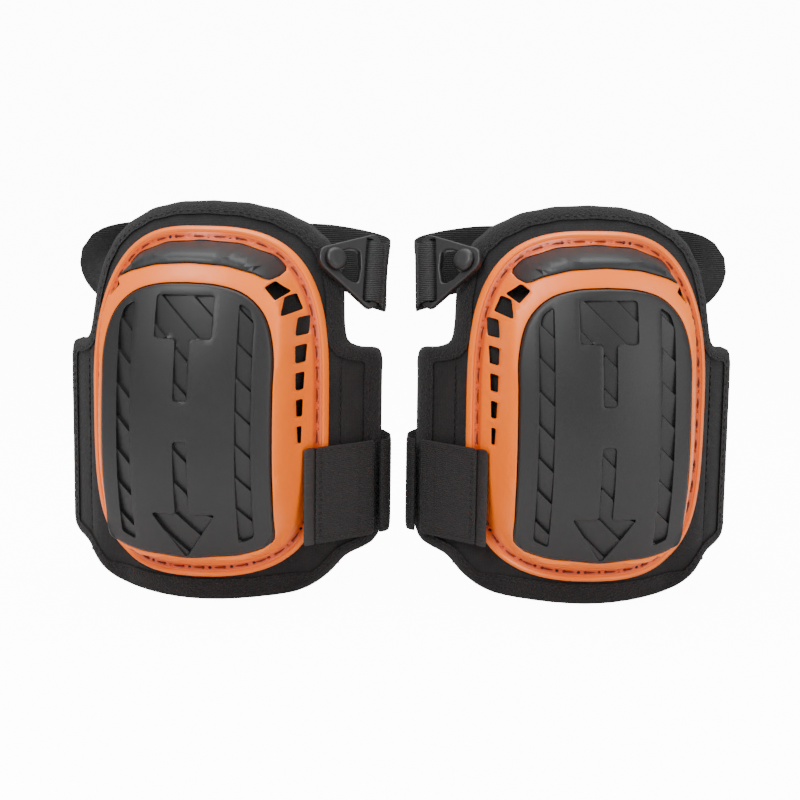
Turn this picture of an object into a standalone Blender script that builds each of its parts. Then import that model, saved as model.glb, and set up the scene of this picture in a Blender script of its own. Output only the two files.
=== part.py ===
"""A pair of strap-on knee pads, standing upright as they are worn. Metres, +Z up, the fronts face -Y.

Each pad is a padded liner with two wings, a moulded shell sewn onto it, a rubber tread cap and a brow
panel set in the shell's windows, shock foam, gel and a cushion behind them, a wide calf strap with a
peel-off tab, and a thigh strap whose clip hooks onto a stud.

Every layer of a pad is a curved plate: an outline in the front view (x, z), bent onto a depth field
that gives y, and extruded to a second depth field. A pad is drawn with its clip side at +X, and the
right pad mirrors that. The tread pattern is the same moulding on both pads.
"""

import math

import bmesh
import bpy
import numpy as np
from mathutils import Matrix, Vector
from mathutils.geometry import delaunay_2d_cdt

MM = 0.001

# Driving dimensions, in millimetres
PAD_HEIGHT = 230.0
PAD_SPACING = 232.0          # between the two pads' middles
TOE_OUT = {"left": 9.0, "right": 6.0}  # degrees
CENTRING = (-2.16, -53.91)   # puts the pair's box over the origin
LINER_CURVE = (95.0, 66.0)   # hyperbola across the knee: depth rate and half-width
DOME_CURVE = (60.0, 75.0)    # the same, for the front of the shell
DOME_FRONT = -20.0
TOP_FALL = 45.0
BOTTOM_FALL = 16.0
LINER_THICKNESS = 8.0
SHELL_HALF_WIDTH = 71.0
SHELL_MIDDLE_Z = 115.75
SHELL_HALF_HEIGHT = 100.25
SHELL_THICKNESS = 2.2
FLANGE_WIDTH = 8.0
BEAD_WIDTH = 3.4
BEAD_HEIGHT = 3.2
GROOVE_HEIGHT = 1.9
CAP_HALF_WIDTH = 49.0
CAP_TOP, CAP_BOTTOM = 186.5, 30.5
CAP_PROUD = 1.6
GAP = 0.6                    # clearance between neighbouring layers
SOFT_GAP = 1.5               # the same, between the coarser soft layers
LINER_GAP = 1.0              # between the liner and what is sewn or set onto it
TREAD_DEPTH = 2.2
BINDING_WIDTH = 7.0
TAB_Z = (33.0, 90.0)
TAB_X = (60.6, 94.6)
TAB_LIFT = 4.1               # the tab's back face over the liner
TAB_THICKNESS = 2.2
STUD_XZ = (66.0, 194.0)
ANCHOR_XZ = (-66.0, 194.0)    # where the thigh strap's other end is sewn, behind the liner
CLIP_LIFT = 4.8              # the clip's back face over the liner
CLIP_THICKNESS = 4.0
CLIP_LENGTH = 42.0
STRAP_THICKNESS = 2.0
THIGH_STRAP_WIDTH = 40.0
CALF_STRAP_WIDTH = 56.0
STRAP_BACK = 124.0           # how far behind the liner's middle the straps pass

COLOURS = {
    "fabric": ((0.016, 0.016, 0.018), 0.95),
    "webbing": ((0.012, 0.012, 0.014), 0.85),
    "hook_loop": ((0.02, 0.02, 0.022), 1.0),
    "foam": ((0.03, 0.03, 0.034), 0.9),
    "orange": ((0.93, 0.24, 0.045), 0.4),
    "rubber": ((0.028, 0.028, 0.032), 0.6),
    "plastic": ((0.02, 0.021, 0.023), 0.4),
    "gel": ((0.05, 0.16, 0.4), 0.3),
    "thread": ((0.02, 0.015, 0.015), 0.9),
}


# ---- small tools -------------------------------------------------------------------------------

def smooth(value, start, end):
    """0 before start, 1 after end, and a smooth step between."""
    t = np.clip((value - start) / (end - start), 0.0, 1.0)
    return t * t * (3.0 - 2.0 * t)


def hyperbola(x, curve):
    """Depth of a rounded trough: flat in the middle, and straight far out."""
    depth, half_width = curve
    return depth * (np.sqrt(1.0 + (x / half_width) ** 2) - 1.0)


def superellipse(half_width, top, bottom, power_top, power_bottom, count=72):
    """A closed outline about the pad's middle, with its own squareness above and below."""
    middle = (top + bottom) / 2.0
    half_height = (top - bottom) / 2.0
    points = []
    for i in range(count):
        angle = 2.0 * math.pi * i / count
        c, s = math.cos(angle), math.sin(angle)
        power = power_top if s > 0.0 else power_bottom
        x = half_width * math.copysign(abs(c) ** (2.0 / power), c)
        z = middle + half_height * math.copysign(abs(s) ** (2.0 / power), s)
        points.append((x, z))
    return points


def mirrored(half):
    """A closed outline from its right half, which runs from the top middle to the bottom middle."""
    left = [(-x, z) for x, z in reversed(half) if x > 1e-6]
    return half + left


def rounded(points, radius, segments=4):
    """A closed outline with each corner cut by a small arc."""
    result = []
    count = len(points)
    for i in range(count):
        corner = Vector(points[i])
        to_last = (Vector(points[i - 1]) - corner)
        to_next = (Vector(points[(i + 1) % count]) - corner)
        cut = min(radius, 0.45 * to_last.length, 0.45 * to_next.length)
        start = corner + to_last.normalized() * cut
        end = corner + to_next.normalized() * cut
        for k in range(segments + 1):
            t = k / segments
            result.append(tuple((1 - t) ** 2 * start + 2 * t * (1 - t) * corner + t * t * end))
    return result


def resampled(points, spacing):
    """The closed outline with extra points, so that no edge is much longer than the spacing."""
    result = []
    for here, there in zip(points, [*points[1:], points[0]]):
        steps = max(1, round((Vector(there) - Vector(here)).length / spacing))
        result.extend(tuple(Vector(here).lerp(Vector(there), k / steps)) for k in range(steps))
    return result


def inset(points, distance):
    """The outline moved inwards by a distance, less the points that a tight corner would fold over."""
    count = len(points)
    area = sum(points[i - 1][0] * points[i][1] - points[i][0] * points[i - 1][1] for i in range(count))
    turn = 1.0 if area > 0.0 else -1.0
    result = []
    for i in range(count):
        here = Vector(points[i])
        before = (here - Vector(points[i - 1])).normalized()
        after = (Vector(points[(i + 1) % count]) - here).normalized()
        across = turn * Vector((-(before + after).y, (before + after).x)).normalized()
        reach = max(0.5, abs(across.dot(turn * Vector((-after.y, after.x)))))
        result.append(tuple(here + across * (distance / reach)))
    clear = distance_to(points, [p[0] for p in result], [p[1] for p in result]) > 0.985 * abs(distance)
    return [p for p, kept in zip(result, clear) if kept]


def inside(outline, x, z):
    """Whether each point lies in the outline, by counting crossings."""
    px = np.array([p[0] for p in outline])
    pz = np.array([p[1] for p in outline])
    qx, qz = np.roll(px, -1), np.roll(pz, -1)
    x, z = np.asarray(x)[:, None], np.asarray(z)[:, None]
    crosses = (pz > z) != (qz > z)
    rise = np.where(qz == pz, 1.0, qz - pz)
    left = x < (qx - px) * (z - pz) / rise + px
    return (crosses & left).sum(axis=1) % 2 == 1


def distance_to(outline, x, z):
    """The distance from each point to the outline's nearest edge."""
    x, z = np.asarray(x, float), np.asarray(z, float)
    a = np.array(outline, float)
    b = np.roll(a, -1, axis=0)
    edge = b - a
    length = np.maximum((edge ** 2).sum(axis=1), 1e-12)
    flat = np.stack([x.ravel(), z.ravel()], axis=1)[:, None, :]
    t = np.clip(((flat - a) * edge).sum(axis=2) / length, 0.0, 1.0)
    away = flat - (a + t[..., None] * edge)
    return np.sqrt((away ** 2).sum(axis=2)).min(axis=1).reshape(x.shape)


# ---- depth fields ------------------------------------------------------------------------------

SHELL_OUTLINE = [
    (x, z) for x, z in superellipse(SHELL_HALF_WIDTH, SHELL_MIDDLE_Z + SHELL_HALF_HEIGHT,
                                    SHELL_MIDDLE_Z - SHELL_HALF_HEIGHT, 2.8, 3.6)
]


def liner(x, z):
    """The liner's front surface: a trough round the knee, which leans back over the thigh and shin."""
    top = TOP_FALL * (np.maximum(z - 120.0, 0.0) / 110.0) ** 2
    wing = 1.0 - smooth(np.abs(x), 46.0, 74.0)
    bottom = BOTTOM_FALL * (np.maximum(110.0 - z, 0.0) / 110.0) ** 2 * wing
    return hyperbola(x, LINER_CURVE) + top + bottom


def dome(x, z):
    """The front of the shell without its flange."""
    up = 34.0 * (np.maximum(z - 95.0, 0.0) / 127.0) ** 2.2
    down = 17.0 * (np.maximum(95.0 - z, 0.0) / 70.0) ** 2
    return DOME_FRONT + hyperbola(x, DOME_CURVE) + up + down


def moved(field, distance):
    """The field moved by a distance along its own normal: positive goes back, towards the knee."""
    def depth(x, z):
        step = 0.5
        slope_x = (field(x + step, z) - field(x - step, z)) / (2 * step)
        slope_z = (field(x, z + step) - field(x, z - step)) / (2 * step)
        slope = np.minimum(slope_x ** 2 + slope_z ** 2, 12.0)
        return field(x, z) + distance * np.sqrt(1.0 + slope)
    return depth


def clear_of_liner(field):
    """The field, held a gap in front of the liner."""
    def depth(x, z):
        return np.minimum(field(x, z), moved(liner, -LINER_GAP)(x, z))
    return depth


def flank(x, z):
    """0 on the shell's flange and 1 on its dome, with steeper walls at the bottom and the top."""
    width = 5.0 + 8.0 * smooth(z, 25.0, 70.0) - 6.0 * smooth(z, 130.0, 175.0)
    away = distance_to(SHELL_OUTLINE, x, z)
    return smooth(away, FLANGE_WIDTH, FLANGE_WIDTH + width)


def shell_front(x, z):
    """The shell's front: a bead round the edge, the sewn groove, the flank and the dome."""
    away = distance_to(SHELL_OUTLINE, x, z)
    height = BEAD_HEIGHT - (BEAD_HEIGHT - GROOVE_HEIGHT) * smooth(away, BEAD_WIDTH - 0.6, BEAD_WIDTH + 0.6)
    flange = liner(x, z) - height * np.sqrt(1.0 + (liner(x + 0.5, z) - liner(x - 0.5, z)) ** 2)
    share = flank(x, z)
    return flange * (1.0 - share) + dome(x, z) * share


def shell_back(x, z):
    """The shell's back: flat on the liner under the flange, and a wall's thickness behind the dome."""
    under = moved(liner, -LINER_GAP)(x, z)
    behind = moved(shell_front, SHELL_THICKNESS)(x, z)
    share = smooth(flank(x, z), 0.02, 0.35)
    return np.minimum(under, under * (1.0 - share) + behind * share)


# ---- building solids ---------------------------------------------------------------------------

def material(name):
    found = bpy.data.materials.get(name)
    if found:
        return found
    colour, roughness = COLOURS[name]
    made = bpy.data.materials.new(name)
    made.use_nodes = True
    shader = made.node_tree.nodes["Principled BSDF"]
    shader.inputs["Base Color"].default_value = (*colour, 1.0)
    shader.inputs["Roughness"].default_value = roughness
    made.diffuse_color = (*colour, 1.0)
    return made


def add_object(name, mesh, pad, slot):
    """The mesh as a named object of the pad, with its material."""
    made = bpy.data.objects.new(f"{pad.side_name}_{name}", mesh)
    mesh.materials.append(material(slot))
    pad.collection.objects.link(made)
    made.parent = pad.empty
    return made


def finish_mesh(name, form, pad):
    """The bmesh in metres and on the pad's own side, with its faces pointing out."""
    for vertex in form.verts:
        vertex.co = Vector((pad.side * vertex.co.x, vertex.co.y, vertex.co.z)) * MM
    bmesh.ops.recalc_face_normals(form, faces=form.faces)
    mesh = bpy.data.meshes.new(name)
    form.to_mesh(mesh)
    form.free()
    return mesh


def flat_patch(outline, holes, rings, step):
    """A triangulated flat patch in (x, z): the outline less its holes, with rings of edges and a grid inside."""
    loops = [outline, *holes, *rings]
    points, edges = [], []
    for loop in loops:
        first = len(points)
        points.extend(Vector(p) for p in loop)
        edges.extend((first + i, first + (i + 1) % len(loop)) for i in range(len(loop)))
    xs, zs = [p[0] for p in outline], [p[1] for p in outline]
    columns = max(1, round((max(xs) - min(xs)) / step))
    rows = max(1, round((max(zs) - min(zs)) / step))
    grid = np.array([
        (min(xs) + (max(xs) - min(xs)) * (i + 0.5 * (j % 2)) / columns, min(zs) + (max(zs) - min(zs)) * j / rows)
        for j in range(rows + 1) for i in range(columns + 1)
    ])
    keep = inside(outline, grid[:, 0], grid[:, 1])
    for hole in holes:
        keep &= ~inside(hole, grid[:, 0], grid[:, 1])
    for loop in loops:
        keep &= distance_to(loop, grid[:, 0], grid[:, 1]) > 0.5 * step
    points.extend(Vector(p) for p in grid[keep])
    verts, _, faces, *_ = delaunay_2d_cdt(points, edges, [], 0, 1e-5)
    middles = np.array([sum((verts[i] for i in face), Vector((0, 0))) / len(face) for face in faces])
    shown = inside(outline, middles[:, 0], middles[:, 1])
    for hole in holes:
        shown &= ~inside(hole, middles[:, 0], middles[:, 1])
    return verts, [face for face, wanted in zip(faces, shown) if wanted]


def curved_plate(name, pad, slot, outline, front, back, step=9.0, holes=(), rings=()):
    """The outline bent onto the front depth field, and extruded back to the other."""
    verts, faces = flat_patch(outline, holes, rings, step)
    form = bmesh.new()
    made = [form.verts.new((v.x, 0.0, v.y)) for v in verts]
    for face in faces:
        form.faces.new([made[i] for i in face])
    bmesh.ops.delete(form, geom=[v for v in form.verts if not v.link_faces], context="VERTS")
    before = list(form.verts)
    pushed = bmesh.ops.extrude_face_region(form, geom=list(form.faces), use_keep_orig=True)
    after = [item for item in pushed["geom"] if isinstance(item, bmesh.types.BMVert)]
    for group, field in ((before, front), (after, back)):
        x = np.array([v.co.x for v in group])
        z = np.array([v.co.z for v in group])
        for vertex, depth in zip(group, field(x, z)):
            vertex.co.y = depth
    return add_object(name, finish_mesh(name, form, pad), pad, slot)


def ribbon(name, pad, slot, path, across, width, thickness):
    """A flat strap along a path, with its width along the vectors in across: an open strip made solid."""
    form = bmesh.new()
    rows = []
    for point, direction in zip(path, across):
        half = direction.normalized() * (width / 2.0)
        rows.append([form.verts.new(point + half), form.verts.new(point - half)])
    for first, second in zip(rows, rows[1:]):
        form.faces.new((first[0], first[1], second[1], second[0]))
    made = add_object(name, finish_mesh(name, form, pad), pad, slot)
    solid = made.modifiers.new("Thickness", "SOLIDIFY")
    solid.thickness = thickness * MM
    solid.offset = 0.0
    solid.use_even_offset = True
    return made


def smooth_path(points, count):
    """Evenly spaced points on a Catmull-Rom curve through the points, with their places along them."""
    padded = [2 * points[0] - points[1], *points, 2 * points[-1] - points[-2]]
    fine = []
    for i in range(1, len(padded) - 2):
        a, b, c, d = padded[i - 1:i + 3]
        for k in range(24):
            t = k / 24.0
            fine.append(0.5 * (2 * b + (c - a) * t + (2 * a - 5 * b + 4 * c - d) * t * t
                               + (3 * b - a - 3 * c + d) * t ** 3))
    fine.append(points[-1])
    lengths = np.cumsum([0.0] + [(q - p).length for p, q in zip(fine, fine[1:])])
    wanted = np.linspace(0.0, lengths[-1], count)
    axes = [np.interp(wanted, lengths, [p[axis] for p in fine]) for axis in range(3)]
    return [Vector(p) for p in zip(*axes)], wanted / lengths[-1]


def placed(made, matrix):
    """Puts an object drawn about its own origin at a matrix in the pad, and returns it."""
    made.matrix_local = matrix
    return made


def turned(name, pad, slot, profile, matrix, steps=20):
    """A solid of revolution about the matrix's Z, from (radius, height) pairs run from top to bottom."""
    mesh = bpy.data.meshes.new(name)
    points = [(radius * MM, 0.0, height * MM) for radius, height in profile]
    mesh.from_pydata(points, [(i, i + 1) for i in range(len(points) - 1)], [])
    made = placed(add_object(name, mesh, pad, slot), matrix)
    screw = made.modifiers.new("Turn", "SCREW")
    screw.steps = screw.render_steps = steps
    screw.use_merge_vertices = True
    screw.merge_threshold = 0.00001
    return made


def cut_plate(name, pad, slot, loops, thickness, matrix):
    """A flat plate drawn in the matrix's X and Y, whose first loop is its outline and the rest its holes."""
    drawn = bpy.data.curves.new(name, "CURVE")
    drawn.dimensions = "2D"
    drawn.fill_mode = "BOTH"
    drawn.extrude = thickness * MM / 2.0
    for loop in loops:
        spline = drawn.splines.new("POLY")
        spline.points.add(len(loop) - 1)
        spline.use_cyclic_u = True
        for point, (x, y) in zip(spline.points, loop):
            point.co = (x * MM, y * MM, 0.0, 1.0)
    return placed(add_object(name, drawn, pad, slot), matrix)


def box(name, pad, slot, size, matrix):
    """A box of a size along the matrix's axes, centred on it."""
    form = bmesh.new()
    bmesh.ops.create_cube(form, size=1.0)
    bmesh.ops.scale(form, vec=Vector(size) * MM, verts=form.verts)
    mesh = bpy.data.meshes.new(name)
    form.to_mesh(mesh)
    form.free()
    return placed(add_object(name, mesh, pad, slot), matrix)


def axes_at(origin, along, out, pad):
    """A matrix in the pad, in metres: X along, Z out, Y across. It mirrors with the pad and stays right-handed."""
    flip = Vector((pad.side, 1.0, 1.0))
    x, z = (along * flip).normalized(), (out * flip).normalized()
    turn = Matrix((x, z.cross(x), z)).transposed().to_4x4()
    return Matrix.Translation(origin * flip * MM) @ turn


# ---- outlines ----------------------------------------------------------------------------------

LINER_OUTLINE = resampled(mirrored(
    [(0.0, PAD_HEIGHT), (20.0, 228.8), (38.0, 224.5), (54.0, 216.0), (64.0, 206.5), (71.0, 193.0), (74.5, 176.0),
     (76.0, 158.0), (78.0, 149.0), (84.0, 145.0), (93.0, 143.0), (95.5, 136.0), (95.5, 90.0), (95.5, 45.0),
     (95.5, 33.0), (93.5, 27.5), (88.5, 24.5), (79.5, 21.0), (71.5, 12.5), (63.0, 6.0), (54.0, 1.5), (46.0, 0.0),
     (23.0, 0.0), (0.0, 0.0)]
), 8.0)
CAP_OUTLINE = resampled(mirrored(
    [(0.0, CAP_TOP), (16.0, CAP_TOP - 1.0), (30.0, CAP_TOP - 5.0), (40.0, CAP_TOP - 13.0),
     (46.0, CAP_TOP - 24.0), (CAP_HALF_WIDTH, CAP_TOP - 40.0), (CAP_HALF_WIDTH, 110.0), (CAP_HALF_WIDTH, 70.0),
     (48.5, CAP_BOTTOM + 14.0), (45.0, CAP_BOTTOM + 7.5), (30.0, CAP_BOTTOM + 2.5), (0.0, CAP_BOTTOM)]
), 16.0)
BROW_OUTLINE = [
    (-44.5, 187.0), (-36.0, 191.3), (-20.0, 195.6), (0.0, 197.0), (20.0, 195.6), (36.0, 191.3), (44.5, 187.0),
    (47.5, 192.0), (41.0, 199.5), (22.0, 206.6), (0.0, 208.3), (-22.0, 206.6), (-41.0, 199.5), (-47.5, 192.0),
]
CORNER_SLOTS = [(46.5, 182.0, 5.0, 5.4, 9.5, 42.0), (52.8, 173.6, 3.6, 6.4, 10.0, 14.0)]


def slot_outlines():
    """The slots down the shell's flanks: two fan round the top corner, and the rest narrow towards the bottom."""
    below = [(58.0, 160.5 - 15.4 * i, 5.0 - 0.7 * i, 4.6 - 0.7 * i, 10.4, 0.0) for i in range(5)]
    found = []
    for side in (-1.0, 1.0):
        for x, z, top, bottom, length, lean in [*CORNER_SLOTS, *below]:
            turn = math.radians(lean)
            corners = [(-top, length), (top, length), (bottom, -length), (-bottom, -length)]
            found.append([(side * (x + (dx * math.cos(turn) - dz * math.sin(turn)) / 2.0),
                           z + (dx * math.sin(turn) + dz * math.cos(turn)) / 2.0) for dx, dz in corners])
    return found


def tread_outlines():
    """The recesses of the tread cap: two side channels, the flag, its stem, and the arrow with its stem."""
    channels = [
        [(side * 30.0, 40.0), (side * 38.5, 44.0), (side * 38.5, 164.0), (side * 36.0, 172.0), (side * 30.0, 176.0)]
        for side in (-1.0, 1.0)
    ]
    flag = [(-16.5, 156.0), (-4.0, 156.0), (-4.0, 122.0), (4.0, 122.0), (4.0, 156.0), (16.5, 156.0),
            (16.5, 180.0), (-16.5, 180.0)]
    arrow = [(0.0, 31.0), (18.5, 58.0), (4.0, 58.0), (4.0, 100.0), (-4.0, 100.0), (-4.0, 58.0), (-18.5, 58.0)]
    return [*channels, flag, arrow]


# ---- one pad -----------------------------------------------------------------------------------

class Pad:
    """One pad: its name, its side (+1 with the clip at +X), and the empty that places it."""

    def __init__(self, side_name, side, collection):
        self.side_name = side_name
        self.side = side
        self.collection = collection
        self.empty = bpy.data.objects.new(f"{side_name}_pad", None)
        collection.objects.link(self.empty)
        middle = CENTRING[0] - side * PAD_SPACING / 2.0
        self.empty.location = (middle * MM, CENTRING[1] * MM, 0.0)
        self.empty.rotation_euler = (0.0, 0.0, -side * math.radians(TOE_OUT[side_name]))


def build_liner(pad):
    """The padded liner, its bound edge, the cushion, gel and lining at the knee, and the wing's loop patch."""
    bound = inset(LINER_OUTLINE, BINDING_WIDTH)
    curved_plate("edge_binding", pad, "webbing", LINER_OUTLINE, moved(liner, -1.0),
                 moved(liner, LINER_THICKNESS + 1.0), step=40.0, holes=[bound])
    curved_plate("liner_body", pad, "fabric", inset(LINER_OUTLINE, BINDING_WIDTH + GAP), liner,
                 moved(liner, LINER_THICKNESS), step=14.0)
    gel = superellipse(34.0, 158.0, 62.0, 2.2, 2.2, 28)
    cushion = superellipse(62.0, 196.0, 26.0, 3.0, 3.0, 36)
    start = LINER_THICKNESS + SOFT_GAP
    curved_plate("gel_pad", pad, "gel", gel, moved(liner, start), moved(liner, start + 7.0), step=15.0)
    curved_plate("knee_cushion", pad, "foam", cushion, moved(liner, start), moved(liner, start + 7.0),
                 step=17.0, holes=[superellipse(35.5, 159.5, 60.5, 2.2, 2.2, 28)])
    curved_plate("knee_lining", pad, "fabric", superellipse(66.0, 200.0, 22.0, 3.0, 3.0, 36),
                 moved(liner, start + 7.0 + SOFT_GAP), moved(liner, start + 9.0 + SOFT_GAP), step=15.0)
    patch = rounded([(73.0, 34.0), (84.0, 34.0), (84.0, 86.0), (73.0, 86.0)], 2.0, 2)
    curved_plate("loop_patch", pad, "hook_loop", patch, moved(liner, -1.8), moved(liner, -0.5), step=12.0)


def build_shell(pad):
    """The moulded shell with its windows and slots, and what shows through and stands behind them."""
    rings = [inset(SHELL_OUTLINE, away) for away in (BEAD_WIDTH - 0.6, BEAD_WIDTH + 0.7, FLANGE_WIDTH)]
    curved_plate("outer_shell", pad, "orange", SHELL_OUTLINE, shell_front, shell_back, step=11.0,
                 holes=[CAP_OUTLINE, BROW_OUTLINE, *slot_outlines()], rings=rings)
    cap_front = moved(shell_front, -CAP_PROUD)
    cap = inset(CAP_OUTLINE, GAP)
    curved_plate("tread_cap", pad, "rubber", cap, cap_front,
                 clear_of_liner(moved(shell_front, SHELL_THICKNESS + 1.0)), step=11.0)
    curved_plate("brow_panel", pad, "plastic", inset(BROW_OUTLINE, GAP), moved(shell_front, -0.3),
                 clear_of_liner(moved(shell_front, SHELL_THICKNESS)), step=14.0)
    under = superellipse(42.0, 181.0, 50.0, 3.2, 4.0, 36)
    curved_plate("inner_shell", pad, "plastic", under, moved(shell_front, SHELL_THICKNESS + 3.2),
                 moved(shell_front, SHELL_THICKNESS + 5.0), step=12.0)
    curved_plate("shock_foam", pad, "foam", superellipse(40.0, 178.0, 53.0, 3.2, 4.0, 36),
                 moved(shell_front, SHELL_THICKNESS + 6.6), moved(liner, -1.0), step=16.0)


def cut_tread(pad):
    """Cuts the tread pattern into the cap. The pattern isn't mirrored, so it is drawn again for each pad."""
    cutters = bpy.data.collections.get("cutters") or bpy.data.collections.new("cutters")
    if cutters.name not in bpy.context.scene.collection.children:
        bpy.context.scene.collection.children.link(cutters)
    cap = bpy.data.objects[f"{pad.side_name}_tread_cap"]
    for index, outline in enumerate(tread_outlines()):
        drawn = resampled([(pad.side * x, z) for x, z in outline], 14.0)
        cutter = curved_plate(f"tread_cutter_{index}", pad, "rubber", drawn, moved(shell_front, -12.0),
                              moved(shell_front, TREAD_DEPTH - CAP_PROUD), step=16.0)
        pad.collection.objects.unlink(cutter)
        cutters.objects.link(cutter)
        cutter.hide_render = True
        cutter.display_type = "WIRE"
        cut = cap.modifiers.new(f"Tread {index}", "BOOLEAN")
        cut.operation = "DIFFERENCE"
        cut.solver = "EXACT"
        cut.object = cutter


def out_of(x, z):
    """The liner's outward normal at a place in the front view."""
    return Vector((float(liner(x + 1.0, z) - liner(x - 1.0, z)) / 2.0, -1.0,
                   float(liner(x, z + 1.0) - liner(x, z - 1.0)) / 2.0)).normalized()


def build_stitches(pad):
    """The thread that sews the shell on: it lies along the groove, and rises and dips with each stitch."""
    middle = inset(SHELL_OUTLINE, (BEAD_WIDTH + FLANGE_WIDTH) / 2.0)
    path, _ = smooth_path([Vector((x, 0.0, z)) for x, z in [*middle, middle[0]]], 45)
    thread = bpy.data.curves.new("rim_thread", "CURVE")
    thread.dimensions = "3D"
    thread.bevel_depth = 0.5 * MM
    thread.bevel_resolution = 1
    spline = thread.splines.new("POLY")
    spline.points.add(len(path) - 2)
    spline.use_cyclic_u = True
    for index, (point, place) in enumerate(zip(spline.points, path)):
        lift = GROOVE_HEIGHT + (1.5 if index % 2 else 1.0)
        seat = Vector((place.x, float(liner(place.x, place.z)), place.z)) + out_of(place.x, place.z) * lift
        point.co = (pad.side * seat.x * MM, seat.y * MM, seat.z * MM, 1.0)
    add_object("rim_thread", thread, pad, "thread")


def stud_frame():
    """The stud's origin on the liner, with the outward normal, and the clip's direction across it."""
    x, z = STUD_XZ
    out = out_of(x, z)
    back = Vector((0.77, 0.575, -0.273))
    along = (back - back.dot(out) * out).normalized()
    return Vector((x, float(liner(x, z)), z)), along, out


def clip_loops():
    """The clip's outline, with the keyhole that the stud's head passes through and the strap's slot."""
    bar = CLIP_LENGTH - 11.0
    outline = rounded([(-10.0, -5.0), (bar - 5.0, -24.0), (bar, -21.0), (bar, 21.0), (bar - 5.0, 24.0),
                       (-10.0, 5.0)], 4.0)
    keyhole = [(4.0 * math.cos(a), 4.0 * math.sin(a)) for a in np.linspace(math.pi / 2, 1.5 * math.pi, 8)]
    keyhole += [(5.0, -7.0), (9.0, -9.5), (14.5, -10.5), (17.0, -9.5), (18.3, 0.0), (17.0, 9.5), (14.5, 10.5),
                (9.0, 9.5), (5.0, 7.0)]
    slot = rounded([(bar - 10.0, -20.0), (bar - 5.0, -20.0), (bar - 5.0, 20.0), (bar - 10.0, 20.0)], 1.5, 2)
    return [outline, keyhole, slot]


def anchor_frame():
    """Where the thigh strap's other end is sewn behind the liner, with its outward run and the way back."""
    x, z = ANCHOR_XZ
    back = -out_of(x, z)
    run = Vector((-0.77, 0.575, -0.2))
    run = (run - run.dot(back) * back).normalized()
    return Vector((x, float(liner(x, z)), z)) + back * (LINER_THICKNESS + 2.9), run, back


def thigh_route():
    """The thigh strap's path from the clip round to its sewn end, and the directions of its width."""
    origin, along, out = stud_frame()
    far, run, back = anchor_frame()
    bar = origin + along * (CLIP_LENGTH - 14.0) + out * (CLIP_LIFT - 1.0 - STRAP_THICKNESS / 2.0)
    route = [bar, bar + along * 8.0, Vector((94.0, 99.0, 185.0)), Vector((84.0, 114.0, 189.0)),
             Vector((60.0, STRAP_BACK - 2.0, 193.0)), Vector((36.0, STRAP_BACK, 194.0)),
             Vector((-34.0, STRAP_BACK, 194.0)), Vector((-56.0, STRAP_BACK - 4.0, 194.0)),
             Vector((-71.0, 110.0, 193.0)), Vector((-76.0, 94.0, 191.0)), far + run * 18.0 + back * 6.0,
             far + run * 11.0 + back * 0.7, far]
    path, places = smooth_path(route, 49)
    near_side, far_side = out.cross(along), run.cross(back)
    widths = [near_side.lerp(Vector((0, 0, 1)), float(smooth(p, 0.02, 0.3))) if p < 0.5
              else Vector((0, 0, 1)).lerp(far_side, float(smooth(p, 0.75, 0.97))) for p in places]
    return path, widths


def build_thigh_strap(pad):
    """The stud and its base, the clip, the elastic strap round the thigh, its slider and its sewn anchor."""
    origin, along, out = stud_frame()
    seat = axes_at(origin, along, out, pad)
    turned("stud_base", pad, "plastic", [(3.7, 4.3), (5.4, 4.3), (6.2, 3.6), (6.2, 1.7), (3.7, 1.7), (3.7, 4.3)],
           seat)
    head = CLIP_LIFT + CLIP_THICKNESS + 0.5
    turned("clip_stud", pad, "plastic", [(0.0, head + 3.6), (4.6, head + 3.4), (6.9, head + 2.2), (6.9, head),
                                         (3.2, head), (3.2, 2.0), (0.0, 2.0)], seat)
    middle = axes_at(origin + out * (CLIP_LIFT + CLIP_THICKNESS / 2.0), along, out, pad)
    cut_plate("strap_clip", pad, "plastic", clip_loops(), CLIP_THICKNESS, middle)

    path, widths = thigh_route()
    ribbon("thigh_strap", pad, "webbing", path, widths, THIGH_STRAP_WIDTH, STRAP_THICKNESS)
    far, run, back = anchor_frame()
    box("thigh_anchor", pad, "webbing", (9.0, THIGH_STRAP_WIDTH - 2.0, 1.2),
        axes_at(far + run * 6.5 + back * 2.7, run, back, pad))

    slider = axes_at(Vector((14.0, STRAP_BACK, 194.0)), Vector((0.0, 0.0, 1.0)), Vector((1.0, 0.0, 0.0)), pad)
    wide, deep = THIGH_STRAP_WIDTH / 2.0, STRAP_THICKNESS / 2.0
    outer = rounded([(-wide - 4, -deep - 2.6), (wide + 4, -deep - 2.6), (wide + 4, deep + 2.6), (-wide - 4, deep + 2.6)],
                    2.0, 3)
    inner = [(-wide - 1, -deep - 0.6), (wide + 1, -deep - 0.6), (wide + 1, deep + 0.6), (-wide - 1, deep + 0.6)]
    cut_plate("strap_slider", pad, "plastic", [outer, inner], 12.0, slider)


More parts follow.
